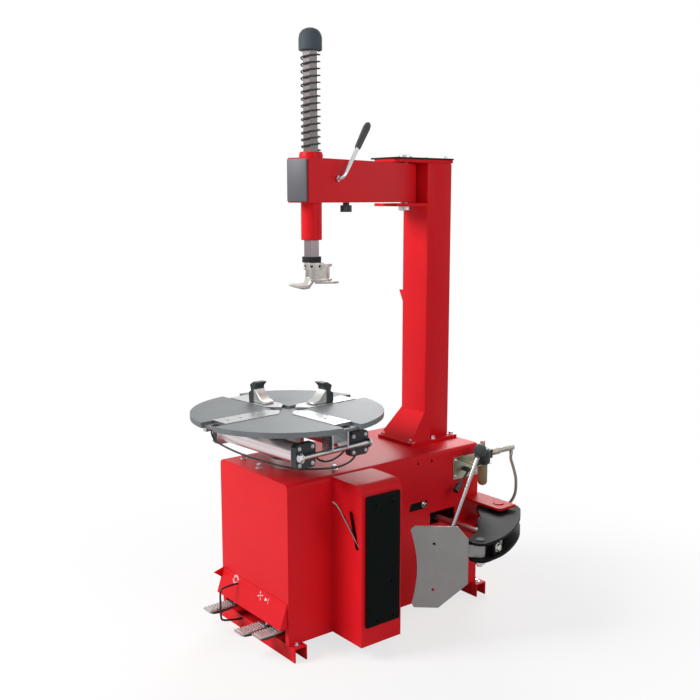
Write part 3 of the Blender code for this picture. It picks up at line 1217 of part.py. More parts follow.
# Wire rail standing between the left pedal and the others
rail_x = PEDAL_X[0] + PEDAL_WIDE / 2.0 + 0.008
rail_front = PEDAL_FRONT[0] + 0.034
rail_path = smooth(
    [(rail_x, FOOT_FRONT_Y - GAP, 0.036), (rail_x, FOOT_FRONT_Y - 0.020, 0.038),
     (rail_x, rail_front + 0.012, 0.048),
     (rail_x, rail_front + 0.001, 0.062), (rail_x, rail_front, 0.106), (rail_x, rail_front + 0.001, 0.144),
     (rail_x, rail_front + 0.012, 0.154), (rail_x, guard_y - 0.026, 0.156),
     (rail_x, guard_y - 0.0092, 0.156)],
    4,
)
bar("wire_rail", rail_path, RAIL_R, BLACK, count=10)
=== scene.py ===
"""Looks of a tire changer: red sheet-metal cabinet, clamping table, swing arm and bead breaker."""

import math

import bpy
from mathutils import Matrix, Vector


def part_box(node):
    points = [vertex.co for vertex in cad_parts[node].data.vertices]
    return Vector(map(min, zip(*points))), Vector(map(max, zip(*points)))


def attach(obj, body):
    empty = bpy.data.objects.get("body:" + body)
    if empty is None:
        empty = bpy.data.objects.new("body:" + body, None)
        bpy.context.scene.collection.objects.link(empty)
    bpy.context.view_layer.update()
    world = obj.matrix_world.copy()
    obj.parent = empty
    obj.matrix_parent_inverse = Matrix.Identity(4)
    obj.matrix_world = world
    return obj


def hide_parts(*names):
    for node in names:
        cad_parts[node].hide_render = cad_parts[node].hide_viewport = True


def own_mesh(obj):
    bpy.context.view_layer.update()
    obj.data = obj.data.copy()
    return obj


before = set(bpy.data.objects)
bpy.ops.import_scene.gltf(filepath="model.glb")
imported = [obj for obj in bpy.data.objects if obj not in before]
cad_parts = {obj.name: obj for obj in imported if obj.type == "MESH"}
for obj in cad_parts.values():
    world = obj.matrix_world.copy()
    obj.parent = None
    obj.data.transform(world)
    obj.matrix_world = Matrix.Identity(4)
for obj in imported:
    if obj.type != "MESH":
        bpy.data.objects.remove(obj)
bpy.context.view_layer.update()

# Feet: two pressed steel channels, open below, powder-coated red and
# bolted to the floor through their ends.


class Tap:
    """A shader socket that takes part in plain arithmetic."""

    def __init__(self, tree, socket):
        self.tree = tree
        self.socket = socket

    def node(self, kind, settings=None, sockets=None, out=0):
        """Adds one node, its settings first and then its sockets, and gives one of its outputs."""
        made = self.tree.nodes.new(kind)
        for key, value in (settings or {}).items():
            setattr(made, key, value)
        for key, value in (sockets or {}).items():
            if isinstance(value, Tap):
                self.tree.links.new(value.socket, made.inputs[key])
            else:
                made.inputs[key].default_value = value
        return Tap(self.tree, made.outputs[out])

    def sum(self, operation, first, second):
        return self.node("ShaderNodeMath", {"operation": operation}, {0: first, 1: second})

    def __add__(self, other):
        return self.sum("ADD", self, other)

    def __radd__(self, other):
        return self.sum("ADD", other, self)

    def __sub__(self, other):
        return self.sum("SUBTRACT", self, other)

    def __rsub__(self, other):
        return self.sum("SUBTRACT", other, self)

    def __mul__(self, other):
        return self.sum("MULTIPLY", self, other)

    def __rmul__(self, other):
        return self.sum("MULTIPLY", other, self)

    def __gt__(self, other):
        return self.sum("GREATER_THAN", self, other)

    def __lt__(self, other):
        return self.sum("LESS_THAN", self, other)

    def noise(self, scale, detail=3.0, rough=0.55):
        sockets = {"Vector": self, "Scale": scale, "Detail": detail, "Roughness": rough}
        return self.node("ShaderNodeTexNoise", None, sockets)

    def stretched(self, scale, turn=(0.0, 0.0, 0.0)):
        return self.node("ShaderNodeMapping", None, {"Vector": self, "Rotation": turn, "Scale": scale})

    def along(self, direction, origin=(0.0, 0.0, 0.0)):
        """How far a point lies along a direction from an origin."""
        moved = self.node("ShaderNodeVectorMath", {"operation": "SUBTRACT"}, {0: self, 1: origin})
        return moved.node("ShaderNodeVectorMath", {"operation": "DOT_PRODUCT"}, {0: moved, 1: direction}, 1)

    def mixed(self, first, second):
        """Two colours mixed by this value."""
        return self.node("ShaderNodeMix", {"data_type": "RGBA"}, {0: self, 6: first, 7: second}, 2)


def tint(red, green, blue):
    """A colour written as it shows on a screen, in the linear values that the shader takes."""
    linear = []
    for screen in (red / 255.0, green / 255.0, blue / 255.0):
        linear.append(screen / 12.92 if screen < 10.3 / 255.0 else ((screen + 0.055) / 1.055) ** 2.4)
    return (*linear, 1.0)


def shade(colour, by):
    """The same colour, darker or lighter by a factor."""
    return tuple(min(1.0, c * by) for c in colour[:3]) + (1.0,)


def start(name):
    """A new material, its shader, and the piece's own coordinates."""
    made = bpy.data.materials.new(name)
    made.use_nodes = True
    shader = made.node_tree.nodes["Principled BSDF"]
    coordinates = made.node_tree.nodes.new("ShaderNodeTexCoord")
    return made, shader, Tap(made.node_tree, coordinates.outputs["Object"])


def feed(shader, **sockets):
    """Links what changes over the surface, and sets what is the same all over it."""
    for name, value in sockets.items():
        socket = shader.inputs[name.replace("_", " ")]
        if isinstance(value, Tap):
            value.tree.links.new(value.socket, socket)
        else:
            socket.default_value = value


def relief(place, height, depth, strength=0.5, round_edges=0.0):
    """Small surface relief, on edges that are rounded off a little."""
    sockets = {"Height": height, "Distance": depth, "Strength": strength}
    if round_edges:
        sockets["Normal"] = place.node("ShaderNodeBevel", {"samples": 4}, {"Radius": round_edges})
    return place.node("ShaderNodeBump", None, sockets)


def powder_coat(name, colour, rough=0.40, shine=0.14):
    """Sprayed powder paint: a fine orange peel, slight cloudiness, and thin edges painted lighter as a
    highlight.
    """
    made, shader, place = start(name)
    cloud = place.noise(9.0, 2.0)
    fleck = place.noise(210.0, 3.0)
    edge_normal = place.node("ShaderNodeBevel", {"samples": 4}, {"Radius": 0.0022})
    facing = Tap(place.tree, place.tree.nodes.new("ShaderNodeNewGeometry").outputs["Normal"])
    turn = facing.node("ShaderNodeVectorMath", {"operation": "DOT_PRODUCT"}, {0: facing, 1: edge_normal}, 1)
    # Painted highlight: every edge lighter where the bevel's normal turns away from the face's normal.
    edge = (1.0 - turn) * 1.6
    base = (cloud * 0.7 + fleck * 0.3).mixed(shade(colour, 0.90), shade(colour, 1.08))
    feed(
        shader,
        Base_Color=edge.mixed(base, shade(colour, 1.35)),
        Roughness=rough - 0.06 + fleck * 0.12,
        Normal=relief(place, place.noise(420.0, 2.0), 0.0004, 0.10, 0.0022),
        Specular_IOR_Level=shine,
    )
    return made


def smooth_faces():
    """Node tree: welds a piece's triangles and smooths all but its sharp edges."""
    tree = bpy.data.node_groups.new("smooth_faces", "GeometryNodeTree")
    tree.interface.new_socket("Geometry", in_out="INPUT", socket_type="NodeSocketGeometry")
    limit = tree.interface.new_socket("Sharp Angle", in_out="INPUT", socket_type="NodeSocketFloat")
    limit.default_value = 0.6
    tree.interface.new_socket("Geometry", in_out="OUTPUT", socket_type="NodeSocketGeometry")
    entry = tree.nodes.new("NodeGroupInput")
    leave = tree.nodes.new("NodeGroupOutput")
    bare = tree.nodes.new("GeometryNodeRemoveAttribute")
    bare.inputs["Name"].default_value = "custom_normal"
    weld = tree.nodes.new("GeometryNodeMergeByDistance")
    weld.inputs["Distance"].default_value = 0.00002
    soft = tree.nodes.new("GeometryNodeSetShadeSmooth")
    angle = tree.nodes.new("GeometryNodeInputMeshEdgeAngle")
    sharp = tree.nodes.new("FunctionNodeCompare")
    crisp = tree.nodes.new("GeometryNodeSetShadeSmooth")
    crisp.domain = "EDGE"
    crisp.inputs["Shade Smooth"].default_value = False
    for a, b in (
        (entry.outputs["Geometry"], bare.inputs["Geometry"]),
        (bare.outputs["Geometry"], weld.inputs["Geometry"]),
        (weld.outputs["Geometry"], soft.inputs["Geometry"]),
        (soft.outputs["Geometry"], crisp.inputs["Geometry"]),
        (angle.outputs["Unsigned Angle"], sharp.inputs[0]),
        (entry.outputs["Sharp Angle"], sharp.inputs[1]),
        (sharp.outputs["Result"], crisp.inputs["Selection"]),
        (crisp.outputs["Geometry"], leave.inputs["Geometry"]),
    ):
        tree.links.new(a, b)
    return tree


smoothing = smooth_faces()


def dress(look, *names):
    """Gives CAD nodes their finish and smooth round faces."""
    for name in names:
        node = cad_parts[name]
        node.data.materials.clear()
        node.data.materials.append(look)
        node.modifiers.new("smooth_faces", "NODES").node_group = smoothing


red_paint = powder_coat("red_powder_coat", tint(226, 26, 36))
dress(red_paint, "foot_front", "foot_rear")


def bolt_tree():
    """Node tree: a washer and a chamfered hexagon head at each point, turned to the point's axis."""
    tree = bpy.data.node_groups.new("hex_bolts", "GeometryNodeTree")
    tree.interface.new_socket("Geometry", in_out="INPUT", socket_type="NodeSocketGeometry")
    for label in ("Head Radius", "Head High", "Washer Radius", "Washer Thick"):
        tree.interface.new_socket(label, in_out="INPUT", socket_type="NodeSocketFloat")
    tree.interface.new_socket("Finish", in_out="INPUT", socket_type="NodeSocketMaterial")
    tree.interface.new_socket("Geometry", in_out="OUTPUT", socket_type="NodeSocketGeometry")
    add = tree.nodes.new
    entry = add("NodeGroupInput")
    leave = add("NodeGroupOutput")

    def link(a, b):
        tree.links.new(a, b)

    def calc(operation, a, b):
        made = add("ShaderNodeMath")
        made.operation = operation
        for socket, value in zip(made.inputs, (a, b)):
            if isinstance(value, float):
                socket.default_value = value
            else:
                link(value, socket)
        return made.outputs[0]

    def drum(sides, bottom, top, deep, low=None):
        made = add("GeometryNodeMeshCone")
        made.inputs["Vertices"].default_value = sides
        link(bottom, made.inputs["Radius Bottom"])
        link(top, made.inputs["Radius Top"])
        link(deep, made.inputs["Depth"])
        if low is None:
            return made.outputs["Mesh"]
        lift = add("GeometryNodeTransform")
        link(made.outputs["Mesh"], lift.inputs["Geometry"])
        up = add("ShaderNodeCombineXYZ")
        link(low, up.inputs["Z"])
        link(up.outputs[0], lift.inputs["Translation"])
        return lift.outputs["Geometry"]

    head, high = entry.outputs["Head Radius"], entry.outputs["Head High"]
    ring, thick = entry.outputs["Washer Radius"], entry.outputs["Washer Thick"]
    main_high = calc("MULTIPLY", high, 0.8)
    top_high = calc("MULTIPLY", high, 0.2)
    body_top = calc("ADD", thick, main_high)
    whole = add("GeometryNodeJoinGeometry")
    for piece in (
        drum(24, ring, ring, thick),
        drum(6, head, head, main_high, thick),
        drum(6, head, calc("MULTIPLY", head, 0.84), top_high, body_top),
    ):
        link(piece, whole.inputs["Geometry"])
    axis = add("GeometryNodeInputNamedAttribute")
    axis.data_type = "FLOAT_VECTOR"
    axis.inputs["Name"].default_value = "axis"
    face = add("FunctionNodeAlignRotationToVector")
    face.axis = "Z"
    link(axis.outputs["Attribute"], face.inputs["Vector"])
    spread = add("GeometryNodeInstanceOnPoints")
    link(entry.outputs["Geometry"], spread.inputs["Points"])
    link(whole.outputs["Geometry"], spread.inputs["Instance"])
    link(face.outputs["Rotation"], spread.inputs["Rotation"])
    real = add("GeometryNodeRealizeInstances")
    link(spread.outputs["Instances"], real.inputs["Geometry"])
    paint = add("GeometryNodeSetMaterial")
    link(real.outputs["Geometry"], paint.inputs["Geometry"])
    link(entry.outputs["Finish"], paint.inputs["Material"])
    link(paint.outputs["Geometry"], leave.inputs["Geometry"])
    return tree


hex_bolts = bolt_tree()


def grown(name, points, tree, inputs, attributes):
    """Runs a node tree on points with vectors and keeps the result as a plain mesh piece."""
    seed = bpy.data.meshes.new(name + "_seed")
    seed.from_pydata([tuple(p) for p in points], [], [])
    for label, values in attributes.items():
        layer = seed.attributes.new(label, "FLOAT_VECTOR", "POINT")
        for cell, value in zip(layer.data, values):
            cell.vector = value
    holder = bpy.data.objects.new(name + "_seed", seed)
    bpy.context.scene.collection.objects.link(holder)
    step = holder.modifiers.new("grow", "NODES")
    step.node_group = tree
    for item in tree.interface.items_tree:
        if item.item_type == "SOCKET" and item.in_out == "INPUT" and item.name in inputs:
            step[item.identifier] = inputs[item.name]
    bpy.context.view_layer.update()
    depsgraph = bpy.context.evaluated_depsgraph_get()
    mesh = bpy.data.meshes.new_from_object(holder.evaluated_get(depsgraph))
    bpy.data.objects.remove(holder)
    mesh.name = name
    piece = bpy.data.objects.new(name, mesh)
    bpy.context.scene.collection.objects.link(piece)
    return piece


def bolts(name, body, seats, head=0.008, high=0.006, washer=0.011, look=None):
    """Hexagon bolts with washers, each at a point and along an axis."""
    sizes = {"Head Radius": head, "Head High": high, "Washer Radius": washer, "Washer Thick": 0.0016}
    sizes["Finish"] = look or bright_zinc
    points = [point for point, axis in seats]
    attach(grown(name, points, hex_bolts, sizes, {"axis": [axis for point, axis in seats]}), body)


def plated(name, colour, rough=0.28, tone=0.10, grain=700.0):
    """Plated steel: bright, with a faint mottled bloom and fine handling marks."""
    made, shader, place = start(name)
    bloom = place.noise(70.0, 4.0)
    mark = place.noise(grain, 3.0)
    feed(
        shader,
        Base_Color=bloom.mixed(shade(colour, 1.0 - tone), shade(colour, 1.0 + tone)),
        Metallic=1.0,
        Roughness=rough - 0.08 + mark * 0.16,
        Normal=relief(place, mark, 0.0002, 0.12, 0.0010),
    )
    return made


bright_zinc = plated("bright_zinc", tint(205, 205, 208))
foot_inset = 0.022
foot_seats = []
for name in ("foot_front", "foot_rear"):
    low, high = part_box(name)
    for x in (low.x + foot_inset, high.x - foot_inset):
        foot_seats.append(((x, (low.y + high.y) / 2.0, high.z), (0.0, 0.0, 1.0)))
bolts("floor_bolts", "base", foot_seats, 0.0075, 0.006, 0.0115)

# Cabinet: folded and welded sheet steel, powder-coated red, with bolt ends
# of the gearbox through its top and a slot for the breaker's adjusting bolt.
dress(red_paint, "cabinet")
cab_low, cab_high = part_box("cabinet")
table_low, table_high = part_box("table_disc")
table_at = Vector(((table_low.x + table_high.x) / 2.0, (table_low.y + table_high.y) / 2.0, 0.0))
stud_seats = []
for x, y in ((-0.138, -0.076), (-0.018, -0.095), (-0.138, 0.076), (0.137, 0.076)):
    stud_seats.append((table_at + Vector((x, y, cab_high.z)), (0.0, 0.0, 1.0)))
bolts("gearbox_studs", "base", stud_seats, 0.0075, 0.013, 0.011)

# Pedal guard: a sloped red sheet over the pedals, printed in white with the
# plain signs for turning, for the clamps and for the breaker.
dress(red_paint, "pedal_guard")


def enamel(name, colour, rough=0.42, grain=260.0, tone=0.12):
    """Plain stove enamel or moulded plastic: fine grain, a little dust in it."""
    made, shader, place = start(name)
    dust = place.noise(14.0, 4.0)
    pebble = place.noise(grain, 3.0)
    feed(
        shader,
        Base_Color=dust.mixed(shade(colour, 1.0 - tone), shade(colour, 1.0 + tone * 1.5)),
        Roughness=rough - 0.08 + pebble * 0.16,
        Normal=relief(place, pebble, 0.0004, 0.18, 0.0012),
    )
    return made


def slabs(name, body, outlines, corner, across, up, look, lifts=(0.0001, 0.0004)):
    """Flat shapes, each from its outline on a face, between two heights above that face."""
    out = across.cross(up)
    verts = []
    faces = []
    for outline in outlines:
        first = len(verts)
        count = len(outline)
        for lift in lifts:
            verts += [corner + across * u + up * v + out * lift for u, v in outline]
        faces.append(tuple(range(first + count - 1, first - 1, -1)))
        faces.append(tuple(range(first + count, first + 2 * count)))
        for i in range(count):
            j = (i + 1) % count
            faces.append((first + i, first + j, first + count + j, first + count + i))
    mesh = bpy.data.meshes.new(name)
    mesh.from_pydata([tuple(v) for v in verts], [], faces)
    mesh.materials.append(look)
    piece = bpy.data.objects.new(name, mesh)
    bpy.context.scene.collection.objects.link(piece)
    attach(piece, body)


def arc_band(u, v, inner, outer, begin, end, parts=20):
    """Outline of part of a ring round a point."""
    steps = [math.radians(begin + (end - begin) * i / parts) for i in range(parts + 1)]
    rim = [(u + outer * math.cos(a), v + outer * math.sin(a)) for a in steps]
    return rim + [(u + inner * math.cos(a), v + inner * math.sin(a)) for a in reversed(steps)]


def moved(outline, u, v, turn):
    """An outline turned by degrees and set down at a point."""
    cosine = math.cos(math.radians(turn))
    sine = math.sin(math.radians(turn))
    return [(u + a * cosine - b * sine, v + a * sine + b * cosine) for a, b in outline]


guard_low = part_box("pedal_guard")[0]
guard_up = Vector((0.0, 0.026, 0.077)).normalized()
guard_foot = Vector((table_at.x, cab_low.y - 0.0263, guard_low.z + 0.001))
turn_sign = (-0.098, 0.066)
clamp_sign = (0.046, 0.062)
clamp_sign_r = 0.0115
arrow = [(-0.0035, -0.0028), (0.0040, 0.0), (-0.0035, 0.0028)]
stroke = [(-0.010, -0.0007), (0.010, -0.0007), (0.010, 0.0007), (-0.010, 0.0007)]
wedge = [(0.0, 0.008), (-0.0055, -0.006), (0.0055, -0.006)]
signs = [
    arc_band(*turn_sign, 0.0085, 0.0100, 0.0, 350.0),
    arc_band(*turn_sign, 0.0125, 0.0145, 20.0, 160.0, 12),
    arc_band(*turn_sign, 0.0125, 0.0145, 200.0, 340.0, 12),
    moved(arrow, -0.0845, 0.0695, -70.0),
    moved(arrow, -0.1115, 0.0625, 110.0),
    moved(stroke, *clamp_sign, 20.0),
    moved(stroke, *clamp_sign, 110.0),
    moved(wedge, 0.078, 0.060, -90.0),
    moved(stroke, 0.090, 0.060, 90.0),
]
for tip in (20.0, 110.0, 200.0, 290.0):
    tip_u = clamp_sign[0] + clamp_sign_r * math.cos(math.radians(tip))
    tip_v = clamp_sign[1] + clamp_sign_r * math.sin(math.radians(tip))
    signs.append(moved(arrow, tip_u, tip_v, tip))
white_print = enamel("white_print", tint(236, 234, 232), 0.5)
slabs("pedal_signs", "base", signs, guard_foot, Vector((1.0, 0.0, 0.0)), guard_up, white_print)

# Side cover: the removable red sheet over the drive, screwed on to the
# cabinet's left side, where the motor and the belt are reached.
cover_margin = 0.055
cover_thick = 0.0016
cover_wide = cab_high.y - cab_low.y - 2.0 * cover_margin
cover_tall = cab_high.z - cab_low.z - 2.0 * cover_margin
cover_corner = Vector((cab_low.x - 0.0002, cab_high.y - cover_margin, cab_low.z + cover_margin))
corner_r = 0.018
screw_inset = 0.016
cover_edge = []
for u, v, begin in (
    (corner_r, corner_r, 180.0), (cover_wide - corner_r, corner_r, 270.0),
    (cover_wide - corner_r, cover_tall - corner_r, 0.0), (corner_r, cover_tall - corner_r, 90.0),
):
    for i in range(7):
        angle = math.radians(begin + 15.0 * i)
        cover_edge.append((u + corner_r * math.cos(angle), v + corner_r * math.sin(angle)))
slabs("side_cover", "base", [cover_edge], cover_corner, Vector((0.0, -1.0, 0.0)), Vector((0.0, 0.0, 1.0)),
      red_paint, (0.0, cover_thick))
cover_screws = []
for u in (screw_inset, cover_wide / 2.0, cover_wide - screw_inset):
    for v in (screw_inset, cover_tall - screw_inset):
        cover_screws.append((cover_corner + Vector((-cover_thick, -u, v)), (-1.0, 0.0, 0.0)))
bolts("side_cover_screws", "base", cover_screws, 0.0052, 0.004, 0.0078)

# Pedals: ribbed aluminium treads on dark cast levers, on one steel shaft in
# a grey frame, with the air valve block behind and a bent wire rail in front.
tread_low = 0.0808


def tread_metal():
    """Bright cast treads above, dark levers below."""
    made, shader, place = start("pedal_castings")
    cast = place.noise(340.0, 4.0)
    worn = place.noise(45.0, 2.0)
    tread = place.along((0.0, 0.0, 1.0)) > tread_low
    metal = worn.mixed(tint(176, 172, 170), tint(214, 212, 210))
    lever = worn.mixed(tint(52, 44, 44), tint(76, 66, 66))
    feed(
        shader,
        Base_Color=tread.mixed(lever, metal),
        Metallic=tread * 0.95,
        Roughness=0.42 - tread * 0.08 + cast * 0.14,
        Normal=relief(place, cast, 0.0006, 0.35, 0.0010),
    )
    return made


dress(tread_metal(), "pedal_turn", "pedal_breaker", "pedal_clamp")


def turned_steel(name, colour, rough=0.30, stretch=(1.0, 1.0, 0.03), tone=0.08, scale=900.0):
    """Drawn or ground steel: fine lines in one direction over a slightly uneven grey."""
    made, shader, place = start(name)
    lines = place.stretched(stretch).noise(scale, 3.0)
    patch = place.noise(25.0, 3.0)
    feed(
        shader,
        Base_Color=(lines * 0.6 + patch * 0.4).mixed(shade(colour, 1.0 - tone), shade(colour, 1.0 + tone)),
        Metallic=1.0,
        Roughness=rough - 0.07 + lines * 0.14,
        Normal=relief(place, lines, 0.0002, 0.15, 0.0008),
    )
    return made


shaft_steel = turned_steel("shaft_steel", tint(170, 168, 166), 0.32, (0.03, 1.0, 1.0))
grey_enamel = enamel("grey_enamel", tint(128, 130, 132), 0.45)
cast_alloy = plated("cast_alloy", tint(186, 184, 182), 0.45, 0.12, 420.0)
dress(shaft_steel, "pedal_shaft")
dress(grey_enamel, "pedal_frame")
dress(cast_alloy, "valve_block")
black_wire = enamel("black_wire", tint(40, 34, 36), 0.38)
dress(black_wire, "wire_rail")
for body, name in (("pedal_a", "pedal_turn"), ("pedal_b", "pedal_breaker"), ("pedal_c", "pedal_clamp")):
    low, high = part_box(name)
    seat = ((low.x + high.x) / 2.0, low.y + 0.103, tread_low + 0.0005)
    bolts(name + "_bolt", body, [(seat, (0.0, 0.0, 1.0))], 0.0048, 0.005, 0.0066)

# Wheel rest: a folded red box on the cabinet's side, with a ribbed black
# rubber pad bolted on and a steel tire lever kept in its slot.
dress(red_paint, "wheel_rest")


def moulded_rubber(name, colour, grain=380.0, rough=0.62):
    """Dull moulded rubber with a fine pebble and a little dust."""
    made, shader, place = start(name)
    pebble = place.noise(grain, 4.0)
    dust = place.noise(11.0, 4.0)
    feed(
        shader,
        Base_Color=dust.mixed(shade(colour, 0.80), shade(colour, 1.5)),
        Roughness=rough - 0.10 + pebble * 0.20,
        Normal=relief(place, pebble, 0.0008, 0.30, 0.0015),
        Specular_IOR_Level=0.07,
    )
    return made


black_rubber = moulded_rubber("black_rubber", tint(7, 13, 12))
dress(black_rubber, "rest_pad")
dress(turned_steel("lever_steel", tint(150, 148, 146), 0.24, (1.0, 1.0, 0.10)), "tire_lever")
pad_low, pad_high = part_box("rest_pad")
pad_seats = []
for y, z in ((0.030, 0.030), (0.092, 0.030), (0.092, 0.275), (0.038, 0.384), (0.098, 0.384)):
    pad_seats.append(((pad_low.x + 0.0004, pad_low.y + y, pad_high.z - z), (1.0, 0.0, 0.0)))
black_oxide = plated("black_oxide", tint(58, 58, 60), 0.40, 0.15, 500.0)
bolts("pad_bolts", "base", pad_seats, 0.0038, 0.004, 0.0042, black_oxide)

# Column: welded box section on a flange with a wedge in front, red inside
# and out, with a black steel cover plate and the arm's bright pivot pin.
dress(red_paint, "column")
black_paint = powder_coat("black_powder_coat", tint(26, 28, 30), 0.42)
dress(black_paint, "column_cover")
dress(bright_zinc, "arm_pin")
flange_top = 0.5478
flange_seats = []
flange_points = ((-0.069, 0.453), (0.069, 0.453), (-0.069, 0.543), (0.073, 0.543), (-0.069, 0.635),
                 (0.069, 0.635))
for x, y in flange_points:
    flange_seats.append((table_at + Vector((x, y, flange_top)), (0.0, 0.0, 1.0)))
bolts("flange_bolts", "base", flange_seats, 0.009, 0.008, 0.013)

cover_low, cover_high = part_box("column_cover")
cover_seats = []
for x in (cover_low.x + 0.018, cover_high.x - 0.018):
    cover_seats.append(((x, cover_high.y - 0.020, cover_high.z), (0.0, 0.0, 1.0)))
bolts("cover_bolts", "base", cover_seats, 0.0065, 0.006, 0.0095)

# Swing arm: red box section with the shaft's guide sleeve, a grey end cover,
# a chromed lock lever with a black grip and a black star knob below.
dress(red_paint, "swing_arm")
dress(enamel("grey_cover", tint(92, 92, 98), 0.5), "arm_end_cover")
pivot_low, pivot_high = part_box("arm_pin")
arm_pivot = Vector(((pivot_low.x + pivot_high.x) / 2.0, (pivot_low.y + pivot_high.y) / 2.0, 0.0))
arm_degrees = 17.5
arm_place = Matrix.Translation(arm_pivot) @ Matrix.Rotation(math.radians(arm_degrees), 4, "Z")


def gripped_rod(name, origin, direction, grip_from, chrome):
    """A bright rod with a black moulded grip beyond a point along it."""
    made, shader, place = start(name)
    grip = place.along(tuple(direction), tuple(origin)) > grip_from
    streak = place.noise(300.0, 3.0)
    wear = place.noise(30.0, 3.0)
    bright = wear.mixed(shade(chrome, 0.9), shade(chrome, 1.1))
    black = wear.mixed(tint(34, 35, 37), tint(58, 60, 63))
    feed(
        shader,
        Base_Color=grip.mixed(bright, black),
        Metallic=1.0 - grip,
        Roughness=0.14 + streak * 0.10 + grip * 0.30,
        Normal=relief(place, streak, 0.0003, 0.15, 0.0008),
    )
    return made


lock_axis = (arm_place.to_3x3() @ Vector((0.0, 0.074, 0.092))).normalized()
lock_foot = arm_place @ Vector((0.060, -0.440, 1.408))
dress(gripped_rod("lock_lever_metal", lock_foot, lock_axis, 0.1115, tint(205, 205, 208)), "lock_lever")
black_plastic = enamel("black_plastic", tint(36, 37, 39), 0.36, 320.0)
dress(black_plastic, "arm_knob")

# Mount shaft: ground hexagonal bar with a rubber cap, a dark return spring,
# a rubber collar and the bright cast mount head.
spring_low, spring_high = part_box("return_spring")


def hex_bar():
    """Ground bar, darker from the spring's lower end upward."""
    made, shader, place = start("hex_bar")
    lines = place.stretched((1.0, 1.0, 0.02)).noise(900.0, 3.0)
    smear = place.noise(60.0, 4.0)
    # Darker from the spring's lower end upward.
    above_spring_low = place.along((0.0, 0.0, 1.0)) > spring_low.z
    tone = lines * 0.4 + smear * 0.6
    lower_tone = tone.mixed(tint(124, 114, 117), tint(148, 138, 141))
    dark = tone.mixed(tint(74, 69, 68), tint(104, 98, 97))
    feed(
        shader,
        Base_Color=above_spring_low.mixed(lower_tone, dark),
        Metallic=1.0,
        Roughness=0.27 + lines * 0.12 + above_spring_low * 0.05,
        Normal=relief(place, lines, 0.0002, 0.15, 0.0008),
    )
    return made


dress(hex_bar(), "hex_shaft")
dress(moulded_rubber("cap_rubber", tint(76, 84, 90), 420.0, 0.5), "shaft_cap")
dress(moulded_rubber("collar_rubber", tint(44, 46, 50), 420.0, 0.5), "shaft_collar")
head_metal = plated("head_casting", tint(214, 206, 200), 0.16, 0.14, 120.0)
dress(head_metal, "mount_head")
head_turn = math.radians(arm_degrees + 34.0)
head_shift = 0.007
head_ring_r = 0.0268
collar_low, collar_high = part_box("shaft_collar")
head_ring = (collar_low + collar_high) / 2.0
head_ring += Vector((head_shift * math.cos(head_turn), head_shift * math.sin(head_turn), 0.0))
head_ring.z = collar_low.z - 0.0103
screw_seats = []
for i in (4, 5, 6, 7, 0):
    angle = 2.0 * math.pi * (i + 0.5) / 8.0 + math.radians(arm_degrees)
    outward = Vector((math.cos(angle), math.sin(angle), 0.0))
    screw_seats.append((tuple(head_ring + outward * head_ring_r), tuple(outward)))
bolts("head_screws", "shaft", screw_seats, 0.0026, 0.0018, 0.0038, black_oxide)
spring_middle = (spring_low + spring_high) / 2.0
wire_r = 0.0022
coil_r = 0.0262
per_turn = 24
steps = int(14.5 * per_turn)
rise = spring_high.z - spring_low.z - 2.0 * wire_r
spring_line = []
for i in range(steps + 1):
    angle = 2.0 * math.pi * i / per_turn + math.radians(arm_degrees)
    x = spring_middle.x + coil_r * math.cos(angle)
    y = spring_middle.y + coil_r * math.sin(angle)
    spring_line.append((x, y, spring_low.z + wire_r + rise * i / steps))


def drawn(name, line, radius, look, fineness):
    """A round wire, tube or hose along a line of points, as a curve."""
    curve = bpy.data.curves.new(name, "CURVE")
    curve.dimensions = "3D"
    curve.bevel_depth = radius
    curve.bevel_resolution = fineness
    curve.use_fill_caps = True
    spline = curve.splines.new("POLY")
    spline.points.add(len(line) - 1)
    for knot, point in zip(spline.points, line):
        knot.co = (*point, 1.0)
    curve.materials.append(look)
    piece = bpy.data.objects.new(name, curve)
    bpy.context.scene.collection.objects.link(piece)
    return piece


def as_mesh(piece):
    """The same piece as a plain mesh with smooth faces."""
    bpy.context.view_layer.update()
    mesh = bpy.data.meshes.new_from_object(piece.evaluated_get(bpy.context.evaluated_depsgraph_get()))
    name = piece.name
    bpy.data.objects.remove(piece)
    made = bpy.data.objects.new(name, mesh)
    mesh.name = name
    mesh.shade_smooth()
    bpy.context.scene.collection.objects.link(made)
    return made


spring_black = enamel("spring_black", tint(44, 44, 47), 0.48)
spring = as_mesh(drawn("shaft_spring", spring_line, wire_r, spring_black, 3))
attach(spring, "arm")
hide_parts("return_spring")
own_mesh(spring)

# Turntable: a ground steel disc with four slots on its hub, four sliding
# clamps, two of them with black hooked jaws, and two air cylinders below.
table_turn = math.radians(4.4)
table_place = Matrix.Translation(table_at) @ Matrix.Rotation(table_turn, 4, "Z")


def ground_disc():
    """Steel faced on a lathe: fine rings round the middle, and patches of handling."""
    made, shader, place = start("table_steel")
    flat = place.node("ShaderNodeVectorMath", {"operation": "MULTIPLY"}, {0: place, 1: (1.0, 1.0, 0.0)})
    ring = flat.node("ShaderNodeVectorMath", {"operation": "DISTANCE"}, {0: flat, 1: tuple(table_at)}, 1)
    sockets = {"W": ring, "Scale": 700.0, "Detail": 3.0}
    lathe = ring.node("ShaderNodeTexNoise", {"noise_dimensions": "1D"}, sockets)
    patch = place.noise(12.0, 4.0)
    spots = place.noise(120.0, 3.0)
    tone = patch * 0.55 + lathe * 0.30 + spots * 0.15
    feed(
        shader,
        Base_Color=tone.mixed(tint(92, 96, 98), tint(138, 142, 144)),
        Metallic=0.62,
        Roughness=0.40 + lathe * 0.10 + patch * 0.12,
        Normal=relief(place, lathe, 0.0002, 0.10, 0.0012),
    )
    return made


